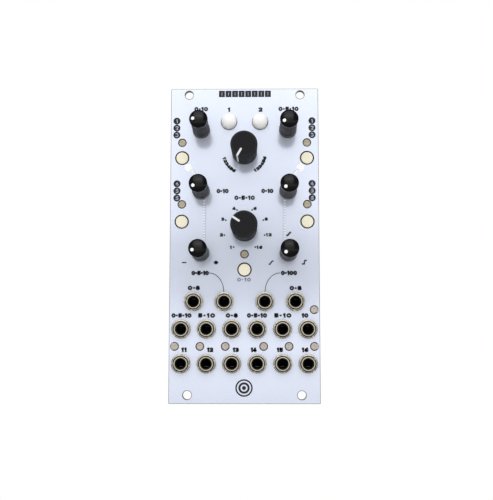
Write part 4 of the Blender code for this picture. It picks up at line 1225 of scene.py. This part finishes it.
# Each kind in mm: body width, length and height, pitch of the legs, their width and reach; then legs per side
PROCESSOR = (8.6, 8.6, 1.4, 0.5, 0.22, 0.7, 14)
CONVERTER = (4.4, 9.7, 1.4, 0.65, 0.3, 0.8, 14)
AMPLIFIER = (3.9, 8.7, 1.55, 1.27, 0.42, 1.05, 7)
REGULATOR = (3.5, 6.5, 1.55, 2.3, 0.75, 1.5, 3)
LEG_THICKNESS = 0.16 * MM
CHIP_MARK_INSET = 0.9 * MM

# Half width and half height in mm that each kind of part keeps clear of small parts
CLEARED = (((PROCESSOR_PLACE,), 5.4, 5.4), (CONVERTER_PLACES, 3.2, 5.2), (AMPLIFIER_PLACES, 4.7, 3.3),
           (REGULATOR_PLACES, 3.6, 3.5), ((CRYSTAL_PLACE,), 2.9, 2.0), (CAPACITOR_PLACES, 3.9, 3.5))


def board_piece(name, parts):
    """A piece of the board from its parts, or from one mesh."""
    mesh = merged(name, parts) if isinstance(parts, list) else parts
    piece(name, mesh, "module", "board", "control_board")


def on_board(shares):
    """A place on the board from its shares of the half width and half height."""
    centre = (BOARD_LOW + BOARD_HIGH) / 2
    half = (BOARD_HIGH - BOARD_LOW) / 2
    return centre.x + shares[0] * half.x, centre.z + shares[1] * half.z


def leg(reach, rise, width):
    """A bent chip leg that leaves a body towards +X and stands on the board's back."""
    thick = LEG_THICKNESS
    path = [(-0.2 * MM, rise), (reach * 0.35, rise), (reach * 0.55, thick * 0.5), (reach, thick * 0.5)]
    flat = band("leg", path, thick, width, TIN)
    tip = Matrix.Rotation(-math.pi / 2, 4, "X") @ Matrix.Translation((0, -width / 2, 0))
    return at(flat, shift=Matrix.Translation((0, BOARD_BACK, 0)) @ tip)


def chip(x, z, kind, sides=2):
    """A moulded chip with rows of legs on two or four sides."""
    width, length, height, pitch, leg_width, reach = (size * MM for size in kind[:-1])
    per_side = kind[-1]
    body = block("chip", (-width / 2, BOARD_BACK + 0.1 * MM, -length / 2),
                 (width / 2, BOARD_BACK + height, length / 2), 0.12 * MM, CHIP_BLACK)
    mark = spun("mark", profile(0, (0, 0), (0.28, 0), (0.3, 0.02), (0, 0.02)), SOCKET_BLACK, SMALL_SIDES)
    parts = [at(body, x, z), at(mark, x - width / 2 + CHIP_MARK_INSET, z + length / 2 - CHIP_MARK_INSET,
                                y=BOARD_BACK + height - 0.008 * MM)]
    legs = row(leg(reach, height * 0.5, leg_width), per_side, (0, 0, pitch), TIN)
    for number in range(sides):
        across = width / 2 if sides == 2 or number % 2 == 0 else length / 2
        spin = Matrix.Rotation(2 * math.pi / sides * number, 4, "Y")
        start = Matrix.Translation((across, 0, -(per_side - 1) * pitch / 2))
        parts.append(at(legs, shift=Matrix.Translation((x, 0, z)) @ spin @ start))
    return parts


def can(x, z):
    """A small round capacitor can on a square foot."""
    side, top = 3.1, 5.4
    radius = side * MM
    lid = profile(BOARD_BACK + top * MM, (-0.7, -0.1), (-0.6, 0), radius=radius)
    wall = [lid[-1], *profile(BOARD_BACK + top * MM, (-0.2, 0), (0, -0.2), radius=radius),
            *profile(BOARD_BACK, (0, 1.6), (-0.25, 1.4), (0, 1.1), (0, 0.6), radius=radius),
            (0, BOARD_BACK + 0.6 * MM)]
    shell = turned("can", (([(0, lid[0][1]), *lid], STEEL), (wall, STEEL)), 48)
    back = BOARD_BACK / MM
    out = side + 0.2
    foot, *tabs = blocks((
        ("foot", (-side, back, -side), (side, back + 0.8, side), 0.3, CHIP_BLACK),
        *(("tab", (across - 0.4, back, -0.35), (across + 0.4, back + 0.15, 0.35), 0.04, TIN)
          for across in (-out, out)),
    ))
    stripe = band("stripe", ((-1.9 * MM, 1.5 * MM), (1.9 * MM, 1.5 * MM)), 1.1 * MM, 0.03 * MM, CHIP_BLACK)
    parts = [at(part, x, z) for part in (shell, foot, *tabs)]
    return parts + [at(stripe, x, z, y=BOARD_BACK + (top - 0.115) * MM)]


def make_switches():
    """The switch under each button: its base, steel lid with four rivets, and plunger."""
    half, front, board = SWITCH_HALF, SWITCH_FRONT, BOARD_FRONT / MM
    plunger = profile(0, (0, PLUNGER_FRONT), (PLUNGER_RADIUS, PLUNGER_FRONT), (PLUNGER_RADIUS, front + 0.1),
                      (0, front + 0.1))
    switch = blocks((
        ("base", (-half, front + 0.5, -half), (half, board, half), 0.25, MOULDED_BLACK),
        ("lid", (0.15 - half, front, 0.15 - half), (half - 0.15, front + 0.5, half - 0.15), 0.12, STEEL),
    ))
    switch.append(spun("plunger", softened(plunger, 0.2 * MM), MOULDED_BLACK, 40))
    rivet = spun("rivet", profile(0, (0, -0.12), (0.3, -0.08), (0.38, 0.05), (0, 0.05)), MOULDED_BLACK,
                 SMALL_SIDES)
    inset = half * 0.7 * MM
    switch.append(ring(at(rivet, inset, inset, y=front * MM), 4, 0.0, math.pi / 2, MOULDED_BLACK))
    places = [middle(node) for node in FLUSH_BUTTONS + DOMED_BUTTONS]
    board_piece("switches", [at(part, place.x, place.z) for place in places for part in switch])


def make_chips():
    """The chips; amplifiers and regulators are turned to lie across the board."""
    chips = chip(*on_board(PROCESSOR_PLACE), PROCESSOR, sides=4)
    for shares in CONVERTER_PLACES:
        chips += chip(*on_board(shares), CONVERTER)
    for kind, places in ((AMPLIFIER, AMPLIFIER_PLACES), (REGULATOR, REGULATOR_PLACES)):
        for shares in places:
            x, z = on_board(shares)
            chips += [at(part, x, z, math.pi / 2) for part in chip(0, 0, kind)]
    board_piece("chips", chips)


def make_board():
    """The bare board, then what is soldered to it from the largest to the smallest."""
    low = Vector((BOARD_LOW.x, BOARD_FRONT, BOARD_LOW.z))
    high = Vector((BOARD_HIGH.x, BOARD_BACK, BOARD_HIGH.z))
    sheet = plate("sheet", low, high, BOARD_CORNER, BOARD_CHAMFER, [], 0, GREEN_MASK, BOARD_EDGE)
    board_piece("board_sheet", sheet)
    make_switches()
    make_chips()
    cans = [part for shares in CAPACITOR_PLACES for part in can(*on_board(shares))]
    crystal = block("crystal", (-2.5 * MM, BOARD_BACK + 0.05 * MM, -1.6 * MM),
                    (2.5 * MM, BOARD_BACK + 1.6 * MM, 1.6 * MM), 0.35 * MM, STEEL, 3)
    board_piece("capacitors", cans + [at(crystal, *on_board(CRYSTAL_PLACE))])
    make_board_back()


# Circuit board: solder joints, small parts, tracks, holes and outlines on its back

BOARD_SEED = 12
JACK_LEG_RISES = (-3.915, 1.881, 4.902)
SENSOR_LEG_PLACES = ((-2.5, -6.25), (0, -6.25), (2.5, -6.25), (-4.4, 1.1), (4.4, 1.1))
SWITCH_LEG_X, SWITCH_LEG_Z = 3.25, 2.25
LIGHT_LEG_REACH = 1.27
SMALL_PITCH = 2.4 * MM
SMALL_SHIFT = 0.4 * MM
SMALL_ROOM = 1.0 * MM
SMALL_PAD_ROOM = 2.1 * MM
EMPTY_SHARE = 0.3
TRACK_COUNT = 90
TRACK_MARGIN = 1 * MM
TRACK_START_MARGIN = 3 * MM
TRACK_START_TOP = 12 * MM
TRACK_RUN, TRACK_CLIMB = (3, 12), (4, 16)
TRACK_WIDTHS = (0.25, 0.25, 0.5)
TRACK_SKIN = 0.02 * MM
TRACK_SLANT = 1.5 * MM
TRACK_SHORTEST = 0.3 * MM
HOLE_COUNT = 120
HOLE_MARGIN = 2 * MM
HOLE_ROOM = 0.4 * MM
HOLE_PAD_ROOM = 1.6 * MM
OUTLINE_INSET = 0.5 * MM
OUTLINE_WIDTH = 0.18 * MM


def solder_joint():
    """A cone of solder round the end of a leg."""
    points = profile(0, (0, 0.9), (0.3, 0.84), (0.4, 0.6), (0.6, 0.3), (0.95, 0.03), (0.95, -0.02),
                     (0, -0.02))
    return spun("joint", points, TIN, SMALL_SIDES)


def joint_places():
    """Where legs of the front's parts come through to the board's back."""
    found = []
    for node in JACKS:
        x, z, flip = jack_place(node)
        found += [(x, z + flip * rise * MM) for rise in JACK_LEG_RISES]
    for _, x, z, _ in knob_places("large", "slim"):
        found += [(x + aside * MM, z + rise * MM) for aside, rise in SENSOR_LEG_PLACES]
    for place in map(middle, FLUSH_BUTTONS + DOMED_BUTTONS):
        found += [(place.x + side_x * SWITCH_LEG_X * MM, place.z + side_z * SWITCH_LEG_Z * MM)
                  for side_x in (-1, 1) for side_z in (-1, 1)]
    return found + [(x, z + side * LIGHT_LEG_REACH * MM) for x, z in light_places() for side in (-1, 1)]


def keep_clear():
    """Rectangles on the board's back that larger parts take, as (x, z, half width, half height)."""
    found = []
    for places, half_x, half_z in CLEARED:
        found += [(*on_board(shares), half_x * MM, half_z * MM) for shares in places]
    centre, half = (HEADER_LOW + HEADER_HIGH) / 2, (HEADER_HIGH - HEADER_LOW) / 2
    return found + [(centre.x, centre.z, half.x + 0.1 * MM, half.z + 0.1 * MM)]


def free(x, z, room, taken):
    """Whether a place keeps its room from every rectangle that is taken."""
    return all(abs(x - cx) > half_x + room or abs(z - cz) > half_z + room for cx, cz, half_x, half_z in taken)


def make_board_back():
    """The small things on the board's back; what is random comes from one seed, in this order."""
    draw = random.Random(BOARD_SEED)
    taken = keep_clear()
    pads = joint_places()
    board_piece("small_parts", small_parts(draw, taken, pads))
    board_piece("board_tracks", tracks(draw))
    board_piece("plated_holes", plated_holes(draw, taken, pads))
    board_piece("board_outlines", outlines(taken))
    board_piece("solder_joints", spots(solder_joint(), [(x, BOARD_BACK, z) for x, z in pads], TIN))


def small_parts(draw, taken, pads):
    """Small capacitors and resistors on a grid, lying or standing by turns of three rows."""
    lying, standing = [], []
    across = int((BOARD_HIGH.x - BOARD_LOW.x) / SMALL_PITCH)
    up = int((BOARD_HIGH.z - BOARD_LOW.z) / SMALL_PITCH)
    for number_x in range(1, across):
        for number_z in range(1, up):
            x = BOARD_LOW.x + number_x * SMALL_PITCH + SMALL_SHIFT
            z = BOARD_LOW.z + number_z * SMALL_PITCH
            near_pad = any(abs(x - px) < SMALL_PAD_ROOM and abs(z - pz) < SMALL_PAD_ROOM for px, pz in pads)
            if near_pad or not free(x, z, SMALL_ROOM, taken) or draw.random() < EMPTY_SHARE:
                continue
            (lying if (number_z // 3) % 2 else standing).append((x, BOARD_BACK, z))
    body, flat, *ends = blocks((
        ("body", (-0.5, 0.02, -0.42), (0.5, 0.62, 0.42), 0.06, CERAMIC),
        ("flat", (-0.5, 0.02, -0.42), (0.5, 0.45, 0.42), 0.05, RESISTOR),
        *(("end", (middle_x - 0.2, -0.01, -0.44), (middle_x + 0.2, 0.55, 0.44), 0.08, TIN)
          for middle_x in (-0.65, 0.65)),
    ), steps=1)
    ends = merged("ends", ends)
    parts = []
    for places, turn in ((lying, 0.0), (standing, math.pi / 2)):
        capacitors = [place for number, place in enumerate(places) if number % 5 < 2]
        resistors = [place for number, place in enumerate(places) if number % 5 >= 2]
        parts.append(spots(at(body, turn=turn), capacitors, CERAMIC))
        parts.append(spots(at(flat, turn=turn), resistors, RESISTOR))
        parts.append(spots(at(ends, turn=turn), places, TIN))
    return parts


def tracks(draw):
    """Tracks that climb, slant and run aside under the board's green mask."""
    found = []
    low_x, high_x = BOARD_LOW.x + TRACK_MARGIN, BOARD_HIGH.x - TRACK_MARGIN
    slant = TRACK_SLANT
    for _ in range(TRACK_COUNT):
        x = draw.uniform(BOARD_LOW.x + TRACK_START_MARGIN, BOARD_HIGH.x - TRACK_START_MARGIN)
        z = draw.uniform(BOARD_LOW.z + TRACK_START_MARGIN, BOARD_HIGH.z - TRACK_START_TOP)
        run, climb = draw.uniform(*TRACK_RUN) * MM, draw.uniform(*TRACK_CLIMB) * MM
        side = draw.choice((-1, 1))
        path = [(x, z), (x, z + climb), (x + side * slant, z + climb + slant),
                (x + side * (slant + run), z + climb + slant)]
        inside = [(min(max(px, low_x), high_x), min(pz, BOARD_HIGH.z - TRACK_MARGIN)) for px, pz in path]
        kept = [inside[0]]
        for point in inside[1:]:
            if (Vector(point) - Vector(kept[-1])).length > TRACK_SHORTEST:
                kept.append(point)
        if len(kept) > 1:
            width = draw.choice(TRACK_WIDTHS) * MM
            track = band("track", kept, width, 2 * TRACK_SKIN, TRACE_GREEN)
            found.append(at(track, y=BOARD_BACK - TRACK_SKIN))
    return found


def plated_holes(draw, taken, pads):
    """Small gold holes wherever nothing else stands."""
    rim = profile(0, (0.2, 0.03), (0.42, 0.03), (0.45, -0.01), (0.2, -0.01), (0.2, 0.03))
    hole = spun("plated_hole", rim, GOLD, 16)
    places = []
    while len(places) < HOLE_COUNT:
        x = draw.uniform(BOARD_LOW.x + HOLE_MARGIN, BOARD_HIGH.x - HOLE_MARGIN)
        z = draw.uniform(BOARD_LOW.z + HOLE_MARGIN, BOARD_HIGH.z - HOLE_MARGIN)
        clear = all(abs(x - px) + abs(z - pz) > HOLE_PAD_ROOM for px, pz in pads)
        if clear and free(x, z, HOLE_ROOM, taken):
            places.append((x, BOARD_BACK, z))
    return spots(hole, places, GOLD)


def outlines(taken):
    """A white outline round each larger part."""
    found = []
    for cx, cz, half_x, half_z in taken:
        in_x, in_z = half_x - OUTLINE_INSET, half_z - OUTLINE_INSET
        corners = [(cx + side_x * in_x, cz + side_z * in_z)
                   for side_x, side_z in ((-1, -1), (1, -1), (1, 1), (-1, 1))]
        frame_line = band("outline", corners, OUTLINE_WIDTH, 2 * TRACK_SKIN, MARK_WHITE, closed=True)
        found.append(at(frame_line, y=BOARD_BACK - TRACK_SKIN * 0.8))
    return found


# Power header

HEADER_WALL = 1.25 * MM
HEADER_KEY = 4.5 * MM
HEADER_FLOOR = 2.6 * MM
HEADER_COLUMNS = 8
PIN_PITCH = 2.54 * MM
PIN_HALF = 0.32 * MM


def make_header():
    """The shrouded power inlet: a floor and walls with a key gap, two rows of pins and their joints."""
    low, high = HEADER_LOW, HEADER_HIGH
    wall, key = HEADER_WALL, HEADER_KEY / 2
    floor = low.y + HEADER_FLOOR
    parts = [block("floor", low, (high.x, floor, high.z), 0.25 * MM, MOULDED_BLACK)]
    for left, right, bottom, top in (
        (low.x, low.x + wall, low.z, high.z), (high.x - wall, high.x, low.z, high.z),
        (low.x, high.x, high.z - wall, high.z),
        (low.x, -key, low.z, low.z + wall), (key, high.x, low.z, low.z + wall),
    ):
        parts.append(block("wall", (left, floor - 0.8 * MM, bottom), (right, high.y, top), 0.22 * MM,
                           MOULDED_BLACK))
    piece("inlet_shroud", merged("inlet_shroud", parts), "module", "header", "power_header")
    side = PIN_HALF
    pin = block("pin", (-side, floor - 0.5 * MM, -side), (side, high.y - 0.8 * MM, side), 0.12 * MM, GOLD)
    pins = row(pin, HEADER_COLUMNS, (PIN_PITCH, 0, 0), GOLD)
    centre_z = (low.z + high.z) / 2
    start = -(HEADER_COLUMNS - 1) / 2
    heights = [centre_z + share * PIN_PITCH for share in (-0.5, 0.5)]
    rows = [at(pins, start * PIN_PITCH, z) for z in heights]
    piece("inlet_pins", merged("inlet_pins", rows), "module", "header", "power_header")
    tails = [((start + number) * PIN_PITCH, BOARD_FRONT, z)
             for number in range(HEADER_COLUMNS) for z in heights]
    tip = at(solder_joint(), shift=Matrix.Rotation(math.pi, 4, "X"))
    piece("inlet_joints", spots(tip, tails, TIN), "module", "header", "power_header")


# Stage, lamp and camera

WHITE = (1, 1, 1, 1)
FLOOR_Z = -0.19
FLOOR_HALF = 6.0
# Distances between which the floor's white changes, and its levels at both, in a mirror and for the camera
FLOOR_MIRRORED = (0.6, 2.0, 0.15, 0.85)
FLOOR_SEEN = (0.32, 0.48, 0.85, 1.0)
WORLD_LIGHT = 0.92
FRONT_LIGHT = 1.15
SIDE_LIGHT = 0.1
FRONT_AIM = (0, -0.97, 0.242)
FRONT_EDGE = (0.87, 0.985)
CARD_RADIUS = 2.5
CARD_STEPS = 24
CARD_TURN, CARD_TILT = 60, 40
CARD_HALF = (1.3, 0.175)
CARD_RISE = 0.2
CARD_LIGHT = 0.26
CARD_CORE = 0.35
LAMP_AZIMUTH, LAMP_ELEVATION, LAMP_DISTANCE = -4, 45, 1.2
LAMP_SIZE = (1.2, 1.0)
LAMP_POWER = 4.8
CAMERA_PLACE = (0.0058, -0.342, -0.0398)
CAMERA_TURNS = (("Z", 0.84), ("X", 6.15), ("Y", -0.02), ("X", 90))
CAMERA_LENS = 60.82
CAMERA_SENSOR = 36


def stage_material(name):
    """A material without a shader yet, and its tree."""
    made = bpy.data.materials.new(name)
    made.use_nodes = True
    made.node_tree.nodes.remove(made.node_tree.nodes["Principled BSDF"])
    return made, Tree(made.node_tree)


def show(tree, share, under, over):
    """Ends a stage material with a mix of two shaders."""
    mix = tree.node("ShaderNodeMixShader", Fac=share, _1=under, _2=over)
    tree.feed(tree.tree.nodes["Material Output"], Surface=mix[0])


def floor_white():
    """The floor's finish: most of its white is seen only by the camera, and it is dimmer in reflections."""
    made, tree = stage_material("stage_white")
    paint = tree.node("ShaderNodeBsdfDiffuse", Color=WHITE)
    path = tree.node("ShaderNodeLightPath")
    where = tree.node("ShaderNodeTexCoord")
    reach = tree.node("ShaderNodeVectorMath", {"operation": "LENGTH"}, _0=where["Object"])

    def fade(near, far, low, high):
        """A level that changes with the distance from the floor's middle."""
        return tree.node("ShaderNodeMapRange", Value=reach["Value"], From_Min=near, From_Max=far, To_Min=low,
                         To_Max=high)["Result"]

    strength = tree.node("ShaderNodeMix", A=1.0, Factor=path["Is Glossy Ray"], B=fade(*FLOOR_MIRRORED))
    glow = tree.node("ShaderNodeEmission", Color=WHITE, Strength=strength["Result"])
    seen = tree.node("ShaderNodeMath", {"operation": "MULTIPLY_ADD"}, _0=path["Is Camera Ray"],
                     _1=fade(*FLOOR_SEEN), _2=path["Is Glossy Ray"])
    show(tree, seen[0], paint[0], glow[0])
    return made


def make_card():
    """A dark card behind the camera, seen only in reflections, that fades out at its rim."""
    rows = []
    bm = bmesh.new()
    for number in range(CARD_STEPS + 1):
        rise = math.radians(-CARD_TILT + 2 * CARD_TILT * number / CARD_STEPS)
        near = []
        for column in range(CARD_STEPS + 1):
            turn = math.radians(-CARD_TURN + 2 * CARD_TURN * column / CARD_STEPS)
            near.append(bm.verts.new((CARD_RADIUS * math.cos(rise) * math.sin(turn),
                                      -CARD_RADIUS * math.cos(rise) * math.cos(turn),
                                      CARD_RADIUS * math.sin(rise))))
        rows.append(near)
    for near, far in zip(rows, rows[1:]):
        joined(bm, near, far, closed=False)
    made, tree = stage_material("stage_card")
    where = tree.node("ShaderNodeTexCoord")
    fit = tree.node("ShaderNodeMapping", Vector=where["Object"], Location=(0, 0, -CARD_RISE / CARD_HALF[1]),
                    Scale=(1 / CARD_HALF[0], 0, 1 / CARD_HALF[1]))
    reach = tree.node("ShaderNodeVectorMath", {"operation": "LENGTH"}, _0=fit["Vector"])
    fade = tree.node("ShaderNodeMapRange", {"interpolation_type": "SMOOTHSTEP"}, Value=reach["Value"],
                     From_Min=CARD_CORE)
    dark = tree.node("ShaderNodeEmission", Color=WHITE, Strength=CARD_LIGHT)
    clear = tree.node("ShaderNodeBsdfTransparent")
    show(tree, fade["Result"], dark[0], clear[0])
    card = bpy.data.objects.new("dark_card", mesh_from(bm, "dark_card", [made]))
    SCENE.collection.objects.link(card)
    card.visible_camera = card.visible_diffuse = card.visible_transmission = card.visible_shadow = False
    card.visible_volume_scatter = False


def make_floor():
    """A wide white floor below the module."""
    mesh = bpy.data.meshes.new("floor")
    half = FLOOR_HALF
    corners = [(-half, -half, FLOOR_Z), (half, -half, FLOOR_Z), (half, half, FLOOR_Z), (-half, half, FLOOR_Z)]
    mesh.from_pydata(corners, [], [(0, 1, 2, 3)])
    mesh.materials.append(floor_white())
    floor = bpy.data.objects.new("floor", mesh)
    SCENE.collection.objects.link(floor)


def make_world():
    """An even white world; glossy surfaces see a bright front that falls off to the sides."""
    world = bpy.data.worlds.new("studio")
    SCENE.world = world
    world.use_nodes = True
    tree = Tree(world.node_tree)
    where = tree.node("ShaderNodeTexCoord")
    front = tree.node("ShaderNodeVectorMath", {"operation": "DOT_PRODUCT"}, _0=where["Generated"],
                      _1=FRONT_AIM)
    seen = tree.node("ShaderNodeMapRange", {"interpolation_type": "SMOOTHSTEP"}, Value=front["Value"],
                     From_Min=FRONT_EDGE[0], From_Max=FRONT_EDGE[1], To_Min=SIDE_LIGHT, To_Max=FRONT_LIGHT)
    path = tree.node("ShaderNodeLightPath")
    glossy = tree.node("ShaderNodeMix", A=WORLD_LIGHT, Factor=path["Is Glossy Ray"], B=seen["Result"])
    level = tree.node("ShaderNodeMath", {"operation": "MAXIMUM"}, _0=glossy["Result"],
                      _1=path["Is Camera Ray"])
    tree.feed(world.node_tree.nodes["Background"], Color=WHITE, Strength=level[0])


def make_lamp():
    """A soft lamp above the panel's front, turned to the panel's middle."""
    lamp = bpy.data.lights.new("softbox", "AREA")
    lamp.shape = "RECTANGLE"
    lamp.size, lamp.size_y = LAMP_SIZE
    lamp.energy = LAMP_POWER
    made = bpy.data.objects.new("softbox", lamp)
    turn, rise = math.radians(LAMP_AZIMUTH), math.radians(LAMP_ELEVATION)
    made.location = LAMP_DISTANCE * Vector((math.sin(turn) * math.cos(rise), -math.cos(turn) * math.cos(rise),
                                            math.sin(rise)))
    made.rotation_euler = (-made.location).to_track_quat("-Z", "Y").to_euler()
    SCENE.collection.objects.link(made)


def make_camera():
    """The photograph's viewpoint; its turns in degrees are applied from the last to the first."""
    camera = bpy.data.cameras.new("camera")
    camera.sensor_width = CAMERA_SENSOR
    camera.lens = CAMERA_LENS
    camera.clip_start = 0.01
    camera.clip_end = 100
    made = bpy.data.objects.new("camera", camera)
    tilt = Matrix.Identity(3)
    for axis, degrees in CAMERA_TURNS:
        tilt = tilt @ Matrix.Rotation(math.radians(degrees), 3, axis)
    made.rotation_euler = tilt.to_euler()
    made.location = CAMERA_PLACE
    SCENE.collection.objects.link(made)
    SCENE.camera = made
    SCENE.view_settings.view_transform = "Standard"


make_camera()
make_floor()
make_card()
make_world()
make_lamp()
make_panel()
make_printing()
make_large_knobs()
make_slim_knobs()
make_buttons()
make_lights()
make_sockets()
make_nuts()
make_potentiometers()
make_board()
make_header()
